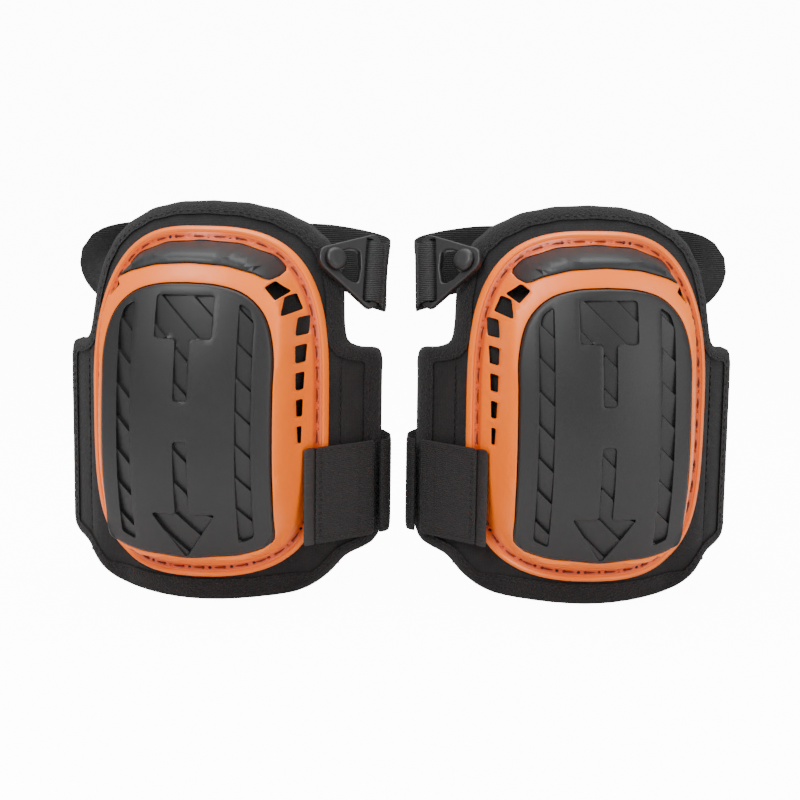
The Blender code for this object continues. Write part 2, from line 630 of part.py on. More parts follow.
def build_calf_strap(pad):
    """The wide strap round the calf, its anchor inside the outer wing, and the tab that peels off the inner one."""
    touch = 80.0
    slope = float(liner(touch + 0.5, 60.0) - liner(touch - 0.5, 60.0))
    start = float(liner(touch, 60.0))

    def tangent(x, z):
        return start + slope * (x - touch) + 0.0 * z

    (left, right), (low, high) = TAB_X, TAB_Z
    tab = rounded([(left + 5.5, low), (right, low), (right, high), (left + 5.5, high)], 1.5, 2)
    curved_plate("strap_tab", pad, "webbing", tab, moved(tangent, -TAB_LIFT - TAB_THICKNESS),
                 moved(tangent, -TAB_LIFT), step=30.0)
    grip = rounded([(left, low), (left + 5.2, low), (left + 5.2, high), (left, high)], 1.0, 2)
    curved_plate("tab_grip", pad, "rubber", grip, moved(tangent, -TAB_LIFT - TAB_THICKNESS + 0.3),
                 moved(tangent, -TAB_LIFT), step=30.0)
    hook = rounded([(73.0, low + 4.0), (84.0, low + 4.0), (84.0, high - 4.0), (73.0, high - 4.0)], 2.0, 2)
    curved_plate("hook_patch", pad, "hook_loop", hook, moved(tangent, -TAB_LIFT + 0.3), moved(tangent, -2.4),
                 step=30.0)

    along = Vector((1.0, slope, 0.0)).normalized()
    front = Vector((slope, -1.0, 0.0)).normalized()
    middle = (low + high) / 2.0
    edge = Vector((right, tangent(right, middle), middle)) + front * (TAB_LIFT + TAB_THICKNESS / 2.0)
    calf = middle
    outer_wing = [Vector((-x, float(moved(liner, LINER_THICKNESS + 2.7)(x, calf)), calf)) for x in (76.0, 84.0, 91.0)]
    route = [edge + along * 2.8, Vector((101.4, 73.5, calf)), Vector((100.5, 84.0, calf)), Vector((97.5, 94.0, calf)),
             Vector((86.0, 110.0, calf)), Vector((60.0, STRAP_BACK - 3.0, calf)),
             Vector((30.0, STRAP_BACK, calf)), Vector((-30.0, STRAP_BACK, calf)),
             Vector((-60.0, STRAP_BACK - 3.0, calf)), Vector((-82.0, 112.0, calf)),
             Vector((-93.0, 98.0, calf)), *reversed(outer_wing)]
    path, _ = smooth_path(route, 45)
    ribbon("calf_strap", pad, "webbing", path, [Vector((0, 0, 1))] * len(path), CALF_STRAP_WIDTH, STRAP_THICKNESS)
    patch = rounded([(-84.0, low + 6.0), (-77.0, low + 6.0), (-77.0, high - 6.0), (-84.0, high - 6.0)], 1.5, 2)
    curved_plate("calf_anchor", pad, "webbing", patch, moved(liner, LINER_THICKNESS + 4.4),
                 moved(liner, LINER_THICKNESS + 5.6), step=30.0)


def build_pad(side_name, side, collection):
    pad = Pad(side_name, side, collection)
    build_liner(pad)
    build_shell(pad)
    cut_tread(pad)
    build_stitches(pad)
    build_thigh_strap(pad)
    build_calf_strap(pad)


def main():
    for old in list(bpy.data.objects):
        bpy.data.objects.remove(old)
    collection = bpy.data.collections.new("knee_pads")
    bpy.context.scene.collection.children.link(collection)
    build_pad("left", 1.0, collection)
    build_pad("right", -1.0, collection)


main()
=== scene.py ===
"""Looks of a pair of strap-on knee pads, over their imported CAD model. Metres, +Z up, the fronts face -Y.

Each layer is drawn as an outline in the pad's front view (x, z), in millimetres, and bent onto a depth
field that gives y. A pad is drawn with its clip side at +X, and its matrix mirrors and places it.
"""

import math

import bmesh
import bpy
import numpy as np
from mathutils import Matrix, Vector, noise
from mathutils.geometry import delaunay_2d_cdt

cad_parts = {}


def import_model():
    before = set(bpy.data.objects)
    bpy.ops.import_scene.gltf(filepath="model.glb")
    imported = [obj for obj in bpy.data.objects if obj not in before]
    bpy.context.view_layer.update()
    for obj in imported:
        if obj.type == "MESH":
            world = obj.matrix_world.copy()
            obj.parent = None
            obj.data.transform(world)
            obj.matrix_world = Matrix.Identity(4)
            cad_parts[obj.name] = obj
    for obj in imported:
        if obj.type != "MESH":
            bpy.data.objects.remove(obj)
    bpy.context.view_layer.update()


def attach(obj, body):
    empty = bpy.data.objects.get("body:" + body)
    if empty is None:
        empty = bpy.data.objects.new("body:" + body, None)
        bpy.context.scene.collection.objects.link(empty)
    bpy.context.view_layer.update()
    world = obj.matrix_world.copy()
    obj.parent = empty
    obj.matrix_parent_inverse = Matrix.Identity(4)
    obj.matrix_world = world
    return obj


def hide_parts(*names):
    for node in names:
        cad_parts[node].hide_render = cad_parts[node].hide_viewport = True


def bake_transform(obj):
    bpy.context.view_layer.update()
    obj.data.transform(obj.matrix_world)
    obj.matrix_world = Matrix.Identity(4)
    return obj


MM = 0.001

# Driving dimensions, in millimetres
PAD_HEIGHT = 230.0
PAD_SPACING = 232.0          # between the two pads' middles
TOE_OUT = {"left": 9.0, "right": 6.0}  # degrees
CENTRING = (-2.16, -53.91)   # puts the pair's box over the origin
LINER_CURVE = (95.0, 66.0)   # hyperbola across the knee: depth rate and half-width
DOME_CURVE = (60.0, 75.0)    # the same, for the front of the shell
DOME_FRONT = -20.0
TOP_FALL = 45.0
BOTTOM_FALL = 16.0
LINER_THICKNESS = 8.0
SHELL_HALF_WIDTH = 71.0
SHELL_MIDDLE_Z = 115.75
SHELL_HALF_HEIGHT = 100.25
SHELL_THICKNESS = 2.2
FLANGE_WIDTH = 8.0
BEAD_WIDTH = 3.4
BEAD_HEIGHT = 3.2
GROOVE_HEIGHT = 1.9
CAP_HALF_WIDTH = 49.0
CAP_TOP, CAP_BOTTOM = 186.5, 30.5
CAP_PROUD = 1.6
SOFT_GAP = 1.5               # clearance between the soft layers
LINER_GAP = 1.0              # between the liner and what is sewn or set onto it
BINDING_WIDTH = 7.0
TAB_Z = (33.0, 90.0)
TAB_X = (60.6, 94.6)
TAB_LIFT = 4.1               # the tab's back face over the liner
TAB_THICKNESS = 2.2
STUD_XZ = (66.0, 194.0)
ANCHOR_XZ = (-66.0, 194.0)    # where the thigh strap's other end is sewn, behind the liner
CLIP_LIFT = 4.8              # the clip's back face over the liner
CLIP_THICKNESS = 4.0
CLIP_LENGTH = 42.0
STRAP_THICKNESS = 2.0
THIGH_STRAP_WIDTH = 40.0
CALF_STRAP_WIDTH = 56.0
STRAP_BACK = 124.0           # how far behind the liner's middle the straps pass


# ---- small tools -------------------------------------------------------------------------------

def smooth(value, start, end):
    """0 before start, 1 after end, and a smooth step between."""
    t = np.clip((value - start) / (end - start), 0.0, 1.0)
    return t * t * (3.0 - 2.0 * t)


def hyperbola(x, curve):
    """Depth of a rounded trough: flat in the middle, and straight far out."""
    depth, half_width = curve
    return depth * (np.sqrt(1.0 + (x / half_width) ** 2) - 1.0)


def superellipse(half_width, top, bottom, power_top, power_bottom, count=72):
    """A closed outline about the pad's middle, with its own squareness above and below."""
    middle = (top + bottom) / 2.0
    half_height = (top - bottom) / 2.0
    points = []
    for i in range(count):
        angle = 2.0 * math.pi * i / count
        c, s = math.cos(angle), math.sin(angle)
        power = power_top if s > 0.0 else power_bottom
        x = half_width * math.copysign(abs(c) ** (2.0 / power), c)
        z = middle + half_height * math.copysign(abs(s) ** (2.0 / power), s)
        points.append((x, z))
    return points


def mirrored(half):
    """A closed outline from its right half, which runs from the top middle to the bottom middle."""
    left = [(-x, z) for x, z in reversed(half) if x > 1e-6]
    return half + left


def rounded(points, radius, segments=4):
    """A closed outline with each corner cut by a small arc."""
    result = []
    count = len(points)
    for i in range(count):
        corner = Vector(points[i])
        to_last = (Vector(points[i - 1]) - corner)
        to_next = (Vector(points[(i + 1) % count]) - corner)
        cut = min(radius, 0.45 * to_last.length, 0.45 * to_next.length)
        start = corner + to_last.normalized() * cut
        end = corner + to_next.normalized() * cut
        for k in range(segments + 1):
            t = k / segments
            result.append(tuple((1 - t) ** 2 * start + 2 * t * (1 - t) * corner + t * t * end))
    return result


def resampled(points, spacing):
    """The closed outline with extra points, so that no edge is much longer than the spacing."""
    result = []
    for here, there in zip(points, [*points[1:], points[0]]):
        steps = max(1, round((Vector(there) - Vector(here)).length / spacing))
        result.extend(tuple(Vector(here).lerp(Vector(there), k / steps)) for k in range(steps))
    return result


def inset(points, distance):
    """The outline moved inwards by a distance, less the points that a tight corner would fold over."""
    count = len(points)
    area = sum(points[i - 1][0] * points[i][1] - points[i][0] * points[i - 1][1] for i in range(count))
    turn = 1.0 if area > 0.0 else -1.0
    result = []
    for i in range(count):
        here = Vector(points[i])
        before = (here - Vector(points[i - 1])).normalized()
        after = (Vector(points[(i + 1) % count]) - here).normalized()
        across = turn * Vector((-(before + after).y, (before + after).x)).normalized()
        reach = max(0.5, abs(across.dot(turn * Vector((-after.y, after.x)))))
        result.append(tuple(here + across * (distance / reach)))
    clear = distance_to(points, [p[0] for p in result], [p[1] for p in result]) > 0.985 * abs(distance)
    return [p for p, kept in zip(result, clear) if kept]


def inside(outline, x, z):
    """Whether each point lies in the outline, by counting crossings."""
    px = np.array([p[0] for p in outline])
    pz = np.array([p[1] for p in outline])
    qx, qz = np.roll(px, -1), np.roll(pz, -1)
    x, z = np.asarray(x)[:, None], np.asarray(z)[:, None]
    crosses = (pz > z) != (qz > z)
    rise = np.where(qz == pz, 1.0, qz - pz)
    left = x < (qx - px) * (z - pz) / rise + px
    return (crosses & left).sum(axis=1) % 2 == 1


def distance_to(outline, x, z):
    """The distance from each point to the outline's nearest edge."""
    x, z = np.asarray(x, float), np.asarray(z, float)
    a = np.array(outline, float)
    b = np.roll(a, -1, axis=0)
    edge = b - a
    length = np.maximum((edge ** 2).sum(axis=1), 1e-12)
    flat = np.stack([x.ravel(), z.ravel()], axis=1)[:, None, :]
    t = np.clip(((flat - a) * edge).sum(axis=2) / length, 0.0, 1.0)
    away = flat - (a + t[..., None] * edge)
    return np.sqrt((away ** 2).sum(axis=2)).min(axis=1).reshape(x.shape)


# ---- depth fields ------------------------------------------------------------------------------

SHELL_OUTLINE = [
    (x, z) for x, z in superellipse(SHELL_HALF_WIDTH, SHELL_MIDDLE_Z + SHELL_HALF_HEIGHT,
                                    SHELL_MIDDLE_Z - SHELL_HALF_HEIGHT, 2.8, 3.6, 180)
]


def liner(x, z):
    """The liner's front surface: a trough round the knee, which leans back over the thigh and shin."""
    top = TOP_FALL * (np.maximum(z - 120.0, 0.0) / 110.0) ** 2
    wing = 1.0 - smooth(np.abs(x), 46.0, 74.0)
    bottom = BOTTOM_FALL * (np.maximum(110.0 - z, 0.0) / 110.0) ** 2 * wing
    return hyperbola(x, LINER_CURVE) + top + bottom


def dome(x, z):
    """The front of the shell without its flange."""
    up = 34.0 * (np.maximum(z - 95.0, 0.0) / 127.0) ** 2.2
    down = 17.0 * (np.maximum(95.0 - z, 0.0) / 70.0) ** 2
    return DOME_FRONT + hyperbola(x, DOME_CURVE) + up + down


def moved(field, distance):
    """The field moved by a distance along its own normal: positive goes back, towards the knee."""
    def depth(x, z):
        step = 0.5
        slope_x = (field(x + step, z) - field(x - step, z)) / (2 * step)
        slope_z = (field(x, z + step) - field(x, z - step)) / (2 * step)
        slope = np.minimum(slope_x ** 2 + slope_z ** 2, 12.0)
        return field(x, z) + distance * np.sqrt(1.0 + slope)
    return depth


def flank(x, z):
    """0 on the shell's flange and 1 on its dome, with steeper walls at the bottom and the top."""
    width = 5.0 + 8.0 * smooth(z, 25.0, 70.0) - 6.0 * smooth(z, 130.0, 175.0)
    away = distance_to(SHELL_OUTLINE, x, z)
    return smooth(away, FLANGE_WIDTH, FLANGE_WIDTH + width)


def shell_front(x, z):
    """The shell's front: a round bead, the sewn groove with its lip, the flank and the dome."""
    away = distance_to(SHELL_OUTLINE, x, z)
    across = np.clip((away - BEAD_WIDTH / 2.0) / (BEAD_WIDTH / 2.0), -1.0, 1.0)
    bead = BEAD_HEIGHT * (1.0 - 0.5 * across ** 2)
    trough = GROOVE_HEIGHT - 0.5 * np.exp(-((away - 5.6) / 1.5) ** 2)
    height = np.where(away < BEAD_WIDTH, np.maximum(bead, trough), trough)
    flange = liner(x, z) - height * np.sqrt(1.0 + (liner(x + 0.5, z) - liner(x - 0.5, z)) ** 2)
    share = flank(x, z)
    return flange * (1.0 - share) + dome(x, z) * share


def shell_back(x, z):
    """The shell's back: flat on the liner under the flange, and a wall's thickness behind the dome."""
    under = moved(liner, -LINER_GAP)(x, z)
    behind = moved(shell_front, SHELL_THICKNESS)(x, z)
    share = smooth(flank(x, z), 0.02, 0.35)
    return np.minimum(under, under * (1.0 - share) + behind * share)


def eased(field, loops, radius):
    """The field, falling back to a rounded edge along the loops."""
    def depth(x, z):
        away = np.min([distance_to(loop, x, z) for loop in loops], axis=0)
        inward = 1.0 - np.clip(away / radius, 0.0, 1.0)
        return field(x, z) + radius * (1.0 - np.sqrt(1.0 - inward ** 2))
    return depth


def dented(field, places, radius, depth):
    """The field with a small round dent at each place."""
    def dents(x, z):
        centres = np.array(places)
        away = np.hypot(x[:, None] - centres[:, 0], z[:, None] - centres[:, 1]).min(axis=1)
        return field(x, z) + depth * (1.0 - smooth(away, 0.35 * radius, radius))
    return dents


def puffed(field, loops, height, reach):
    """The field, swelling towards the front away from its sewn loops."""
    def depth(x, z):
        away = np.min([distance_to(loop, x, z) for loop in loops], axis=0)
        return field(x, z) - height * np.sqrt(1.0 - (1.0 - np.clip(away / reach, 0.0, 1.0)) ** 2)
    return depth


def rumpled(field, height, size, seed):
    """The field with the soft unevenness of cloth."""
    def depth(x, z):
        bumps = [noise.noise(Vector((a / size, b / size, seed))) for a, b in zip(x, z)]
        return field(x, z) + height * np.array(bumps)
    return depth


# ---- outlines ----------------------------------------------------------------------------------

LINER_OUTLINE = resampled(mirrored(
    [(0.0, PAD_HEIGHT), (20.0, 228.8), (38.0, 224.5), (54.0, 216.0), (64.0, 206.5), (71.0, 193.0),
     (74.5, 176.0),
     (76.0, 158.0), (78.0, 149.0), (84.0, 145.0), (93.0, 143.0), (95.5, 136.0), (95.5, 90.0), (95.5, 45.0),
     (95.5, 33.0), (93.5, 27.5), (88.5, 24.5), (79.5, 21.0), (71.5, 12.5), (63.0, 6.0), (54.0, 1.5),
     (46.0, 0.0),
     (23.0, 0.0), (0.0, 0.0)]
), 8.0)
CAP_OUTLINE = resampled(mirrored(
    [(0.0, CAP_TOP), (16.0, CAP_TOP - 1.0), (30.0, CAP_TOP - 5.0), (40.0, CAP_TOP - 13.0),
     (46.0, CAP_TOP - 24.0), (CAP_HALF_WIDTH, CAP_TOP - 40.0), (CAP_HALF_WIDTH, 110.0),
     (CAP_HALF_WIDTH, 70.0),
     (48.5, CAP_BOTTOM + 14.0), (45.0, CAP_BOTTOM + 7.5), (30.0, CAP_BOTTOM + 2.5), (0.0, CAP_BOTTOM)]
), 16.0)
BROW_OUTLINE = [
    (-44.5, 187.0), (-36.0, 191.3), (-20.0, 195.6), (0.0, 197.0), (20.0, 195.6), (36.0, 191.3),
    (44.5, 187.0),
    (47.5, 192.0), (41.0, 199.5), (22.0, 206.6), (0.0, 208.3), (-22.0, 206.6), (-41.0, 199.5),
    (-47.5, 192.0),
]
CORNER_SLOTS = [(46.5, 182.0, 5.0, 5.4, 9.5, 42.0), (52.8, 173.6, 3.6, 6.4, 10.0, 14.0)]


def slot_outlines():
    """The slots down the shell's flanks: two fan round the top corner, and the rest narrow downwards."""
    below = [(58.0, 160.5 - 15.4 * i, 5.0 - 0.7 * i, 4.6 - 0.7 * i, 10.4, 0.0) for i in range(5)]
    found = []
    for side in (-1.0, 1.0):
        for x, z, top, bottom, length, lean in [*CORNER_SLOTS, *below]:
            turn = math.radians(lean)
            corners = [(-top, length), (top, length), (bottom, -length), (-bottom, -length)]
            found.append([(side * (x + (dx * math.cos(turn) - dz * math.sin(turn)) / 2.0),
                           z + (dx * math.sin(turn) + dz * math.cos(turn)) / 2.0) for dx, dz in corners])
    return found


def tread_outlines():
    """The recesses of the tread cap: two side channels, the flag, its stem, and the arrow with its stem."""
    channels = [
        [(side * 30.0, 40.0), (side * 38.5, 44.0), (side * 38.5, 164.0), (side * 36.0, 172.0),
         (side * 30.0, 176.0)]
        for side in (-1.0, 1.0)
    ]
    flag = [(-16.5, 156.0), (-4.0, 156.0), (-4.0, 122.0), (4.0, 122.0), (4.0, 156.0), (16.5, 156.0),
            (16.5, 180.0), (-16.5, 180.0)]
    arrow = [(0.0, 31.0), (18.5, 58.0), (4.0, 58.0), (4.0, 100.0), (-4.0, 100.0), (-4.0, 58.0),
             (-18.5, 58.0)]
    return [*channels, flag, arrow]


# ---- building meshes ---------------------------------------------------------------------------

class Pad:
    """One pad: its name, its side (+1 has the clip at +X), and its matrix from millimetres to the world."""

    def __init__(self, side_name, side):
        self.side_name = side_name
        self.side = side
        middle = CENTRING[0] - side * PAD_SPACING / 2.0
        self.matrix = (Matrix.Translation((middle * MM, CENTRING[1] * MM, 0.0))
                       @ Matrix.Rotation(-side * math.radians(TOE_OUT[side_name]), 4, "Z")
                       @ Matrix.Diagonal((side * MM, MM, MM, 1.0)))

    def world(self, place):
        return self.matrix @ Vector(place)


def add_piece(pad, name, mesh, looks, slot, body="pad", nodes=(), crease=38.0, look=None):
    """The mesh, drawn in the pad's millimetres, as a piece that rides on a body, unless that is None.

    It stands for the CAD nodes, and wears its slot's look unless another one is named."""
    mesh.transform(pad.matrix)
    if pad.side < 0.0:
        mesh.flip_normals()
    mesh.shade_smooth()
    mesh.set_sharp_from_angle(angle=math.radians(crease))
    made = bpy.data.objects.new(f"{pad.side_name}_{name}_skin", mesh)
    made.data.materials.append(looks[look or slot])
    bpy.context.scene.collection.objects.link(made)
    if body:
        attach(made, f"{pad.side_name}_{body}")
    if nodes:
        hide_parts(*[f"{pad.side_name}_{node}" for node in nodes])
    return made


def flat_patch(outline, holes, rings, lines, step):
    """A triangulated flat patch in (x, z): the outline less its holes, with rings and lines of edges."""
    loops = [outline, *holes, *rings]
    points, edges = [], []
    for loop in loops:
        first = len(points)
        points.extend(Vector(p) for p in loop)
        edges.extend((first + i, first + (i + 1) % len(loop)) for i in range(len(loop)))
    for line in lines:
        first = len(points)
        points.extend(Vector(p) for p in line)
        edges.extend((first + i, first + i + 1) for i in range(len(line) - 1))
    xs, zs = [p[0] for p in outline], [p[1] for p in outline]
    columns = max(1, round((max(xs) - min(xs)) / step))
    rows = max(1, round((max(zs) - min(zs)) / step))
    grid = np.array([
        (min(xs) + (max(xs) - min(xs)) * (i + 0.5 * (j % 2)) / columns,
         min(zs) + (max(zs) - min(zs)) * j / rows)
        for j in range(rows + 1) for i in range(columns + 1)
    ])
    keep = inside(outline, grid[:, 0], grid[:, 1])
    for loop in loops:
        keep &= distance_to(loop, grid[:, 0], grid[:, 1]) > 0.4 * step
    for hole in holes:
        keep &= ~inside(hole, grid[:, 0], grid[:, 1])
    points.extend(Vector(p) for p in grid[keep])
    verts, _, faces, *_ = delaunay_2d_cdt(points, edges, [], 0, 1e-5)
    middles = np.array([sum((verts[i] for i in face), Vector((0, 0))) / len(face) for face in faces])
    shown = inside(outline, middles[:, 0], middles[:, 1])
    for hole in holes:
        shown &= ~inside(hole, middles[:, 0], middles[:, 1])
    return verts, [face for face, wanted in zip(faces, shown) if wanted]


def plate_mesh(name, outline, front, back, step=4.0, holes=(), rings=(), lines=()):
    """The outline bent onto the front depth field and extruded back to the other, in millimetres."""
    verts, faces = flat_patch(outline, holes, rings, lines, step)
    form = bmesh.new()
    made = [form.verts.new((v.x, 0.0, v.y)) for v in verts]
    for face in faces:
        form.faces.new([made[i] for i in face])
    bmesh.ops.delete(form, geom=[v for v in form.verts if not v.link_faces], context="VERTS")
    before = list(form.verts)
    pushed = bmesh.ops.extrude_face_region(form, geom=list(form.faces), use_keep_orig=True)
    after = [item for item in pushed["geom"] if isinstance(item, bmesh.types.BMVert)]
    for group, field in ((before, front), (after, back)):
        x = np.array([v.co.x for v in group])
        z = np.array([v.co.z for v in group])
        for vertex, depth in zip(group, field(x, z)):
            vertex.co.y = depth
    bmesh.ops.recalc_face_normals(form, faces=form.faces)
    mesh = bpy.data.meshes.new(name)
    form.to_mesh(mesh)
    form.free()
    return mesh


def sweep_mesh(name, path, across, section, closed=False):
    """A closed section carried along a path. Each section point is (along the width, along the thickness)."""
    form = bmesh.new()
    count = len(path)
    rows = []
    for i, (place, wide) in enumerate(zip(path, across)):
        ahead = path[(i + 1) % count] if closed or i + 1 < count else path[i]
        behind = path[i - 1] if closed or i > 0 else path[i]
        run = (ahead - behind).normalized()
        wide = (wide - wide.dot(run) * run).normalized()
        thick = run.cross(wide)
        rows.append([form.verts.new(place + wide * a + thick * b) for a, b in section])
    pairs = list(zip(rows, rows[1:])) + ([(rows[-1], rows[0])] if closed else [])
    size = len(section)
    for first, second in pairs:
        for k in range(size):
            form.faces.new((first[k], first[(k + 1) % size], second[(k + 1) % size], second[k]))
    if not closed:
        form.faces.new(list(reversed(rows[0])))
        form.faces.new(rows[-1])
    bmesh.ops.recalc_face_normals(form, faces=form.faces)
    mesh = bpy.data.meshes.new(name)
    form.to_mesh(mesh)
    form.free()
    return mesh


def strap_section(width, thickness, steps=26):
    """A strap's section: flat faces with fine lengthwise ribs, and rounded selvedges."""
    half, deep = width / 2.0, thickness / 2.0
    across = [half * (1.0 - 2.0 * k / steps) for k in range(steps + 1)]
    shape = [deep * (1.0 - 0.55 * abs(a / half) ** 14) - 0.12 * (k % 2) for k, a in enumerate(across)]
    front = list(zip(across, shape))
    return front + [(a, -b) for a, b in reversed(front)]


def lathe_mesh(name, profile, seat, steps=48):
    """A solid turned about the seat's Z, from (radius, height) pairs that start and end on the axis."""
    form = bmesh.new()
    rings = []
    for radius, height in profile:
        if radius < 1e-6:
            rings.append([form.verts.new(seat @ Vector((0.0, 0.0, height)))])
        else:
            rings.append([form.verts.new(seat @ Vector((radius * math.cos(2 * math.pi * k / steps),
                                                        radius * math.sin(2 * math.pi * k / steps), height)))
                          for k in range(steps)])
    for first, second in zip(rings, rings[1:]):
        for k in range(steps):
            corners = [first[k % len(first)], first[(k + 1) % len(first)],
                       second[(k + 1) % len(second)], second[k % len(second)]]
            form.faces.new(list(dict.fromkeys(corners)))
    bmesh.ops.recalc_face_normals(form, faces=form.faces)
    mesh = bpy.data.meshes.new(name)
    form.to_mesh(mesh)
    form.free()
    return mesh


def seat_at(origin, along, out):
    """A matrix in the pad's millimetres: X along, Z out, Y across."""
    x, z = along.normalized(), out.normalized()
    turn = Matrix((x, z.cross(x), z)).transposed().to_4x4()
    return Matrix.Translation(origin) @ turn


def cut_mesh(name, loops, thickness, round_off, seat):
    """A flat plate in the seat's X and Y with rounded edges: one loop is its outline, the rest its holes."""
    drawn = bpy.data.curves.new(name, "CURVE")
    drawn.dimensions = "2D"
    drawn.fill_mode = "BOTH"
    drawn.extrude = thickness / 2.0 - round_off
    drawn.bevel_depth = round_off
    drawn.bevel_resolution = 3
    drawn.offset = -round_off
    for loop in loops:
        spline = drawn.splines.new("POLY")
        spline.points.add(len(loop) - 1)
        spline.use_cyclic_u = True
        for point, (x, y) in zip(spline.points, loop):
            point.co = (x, y, 0.0, 1.0)
    holder = bpy.data.objects.new(name, drawn)
    bpy.context.scene.collection.objects.link(holder)
    mesh = bpy.data.meshes.new_from_object(holder.evaluated_get(bpy.context.evaluated_depsgraph_get()))
    bpy.data.objects.remove(holder)
    mesh.transform(seat)
    return mesh


def stitch_mesh(name, path, out, length, gap, radius, sink=0.0):
    """A row of thread stitches along a path: short round-ended lengths with their ends pulled in."""
    form = bmesh.new()
    spans = [(b - a).length for a, b in zip(path, path[1:])]
    total = sum(spans)
    count = max(1, round(total / (length + gap)))
    fine, _ = smooth_path(path, count * 6 + 1)
    sides = 6
    for i in range(count):
        rows = []
        for k in range(5):
            place = fine[i * 6 + k]
            run = (fine[min(i * 6 + k + 1, len(fine) - 1)] - fine[max(i * 6 + k - 1, 0)]).normalized()
            up = out(place)
            wide = run.cross(up).normalized()
            bend = math.sin(math.pi * k / 4.0)
            middle = place + up * (radius * (1.6 * bend - 0.9) - sink)
            size = radius * (0.55 + 0.45 * bend)
            rows.append([form.verts.new(middle + (wide * math.cos(2 * math.pi * s / sides)
                                                  + up * math.sin(2 * math.pi * s / sides)) * size)
                         for s in range(sides)])
        for first, second in zip(rows, rows[1:]):
            for s in range(sides):
                form.faces.new((first[s], first[(s + 1) % sides], second[(s + 1) % sides], second[s]))
        form.faces.new(list(reversed(rows[0])))
        form.faces.new(rows[-1])
    bmesh.ops.recalc_face_normals(form, faces=form.faces)
    mesh = bpy.data.meshes.new(name)
    form.to_mesh(mesh)
    form.free()
    return mesh


def smooth_path(points, count):
    """Evenly spaced points on a Catmull-Rom curve through the points, with their places along them."""
    padded = [2 * points[0] - points[1], *points, 2 * points[-1] - points[-2]]
    fine = []
    for i in range(1, len(padded) - 2):
        a, b, c, d = padded[i - 1:i + 3]
        for k in range(24):
            t = k / 24.0
            fine.append(0.5 * (2 * b + (c - a) * t + (2 * a - 5 * b + 4 * c - d) * t * t
                               + (3 * b - a - 3 * c + d) * t ** 3))
    fine.append(points[-1])
    lengths = np.cumsum([0.0] + [(q - p).length for p, q in zip(fine, fine[1:])])
    wanted = np.linspace(0.0, lengths[-1], count)
    axes = [np.interp(wanted, lengths, [p[axis] for p in fine]) for axis in range(3)]
    return [Vector(p) for p in zip(*axes)], wanted / lengths[-1]


def out_of(x, z):
    """The liner's outward normal at a place in the front view."""
    return Vector((float(liner(x + 1.0, z) - liner(x - 1.0, z)) / 2.0, -1.0,
                   float(liner(x, z + 1.0) - liner(x, z - 1.0)) / 2.0)).normalized()


def stud_frame():
    """The stud's origin on the liner, with the outward normal, and the clip's direction across it."""
    x, z = STUD_XZ
    out = out_of(x, z)
    back = Vector((0.77, 0.575, -0.273))
    along = (back - back.dot(out) * out).normalized()
    return Vector((x, float(liner(x, z)), z)), along, out


def clip_loops():
    """The clip's outline, with the keyhole that the stud's head passes through and the strap's slot."""
    bar = CLIP_LENGTH - 11.0
    outline = rounded([(-10.0, -5.0), (bar - 5.0, -24.0), (bar, -21.0), (bar, 21.0), (bar - 5.0, 24.0),
                       (-10.0, 5.0)], 4.0)
    keyhole = [(4.0 * math.cos(a), 4.0 * math.sin(a)) for a in np.linspace(math.pi / 2, 1.5 * math.pi, 8)]
    keyhole += [(5.0, -7.0), (9.0, -9.5), (14.5, -10.5), (17.0, -9.5), (18.3, 0.0), (17.0, 9.5),
                (14.5, 10.5),
                (9.0, 9.5), (5.0, 7.0)]
    slot = rounded([(bar - 10.0, -20.0), (bar - 5.0, -20.0), (bar - 5.0, 20.0), (bar - 10.0, 20.0)], 1.5, 2)
    return [outline, keyhole, slot]


def outward(place):
    """The liner's outward normal at a place near it."""
    return out_of(place.x, place.z)


def softened(outline, spacing):
    """The closed outline as an evenly spaced smooth curve."""
    path = [Vector((x, 0.0, z)) for x, z in [*outline, outline[0]]]
    length = sum((b - a).length for a, b in zip(path, path[1:]))
    fine, _ = smooth_path(path, round(length / spacing) + 1)
    return [(p.x, max(p.z, 0.0)) for p in fine[:-1]]


def on_field(field, outline, lift=0.0):
    """The closed outline as a path on a depth field, lifted along the liner's normal."""
    x = np.array([p[0] for p in outline])
    z = np.array([p[1] for p in outline])
    path = [Vector((a, b, c)) for a, b, c in zip(x, field(x, z), z)]
    return [p + outward(p) * lift for p in [*path, path[0]]]


# ---- the layers of one pad ---------------------------------------------------------------------

EDGE = softened(LINER_OUTLINE, 3.0)
CAP_EDGE = softened(CAP_OUTLINE, 2.5)
BROW_EDGE = softened(rounded(BROW_OUTLINE, 3.0, 3), 2.5)
STITCH_COUNT = 46


def stitch_places():
    """Where the shell's thread goes through the groove: the ends of each stitch, in the front view."""
    middle = inset(SHELL_OUTLINE, (BEAD_WIDTH + FLANGE_WIDTH) / 2.0)
    path = [Vector((x, 0.0, z)) for x, z in [*middle, middle[0]]]
    fine, _ = smooth_path(path, STITCH_COUNT * 6 + 1)
    return path, [(fine[i * 6 + k].x, fine[i * 6 + k].z) for i in range(STITCH_COUNT) for k in (0, 4)]


def circle(centre, radius, count=8):
    return [(centre[0] + radius * math.cos(2 * math.pi * k / count),
             centre[1] + radius * math.sin(2 * math.pi * k / count)) for k in range(count)]


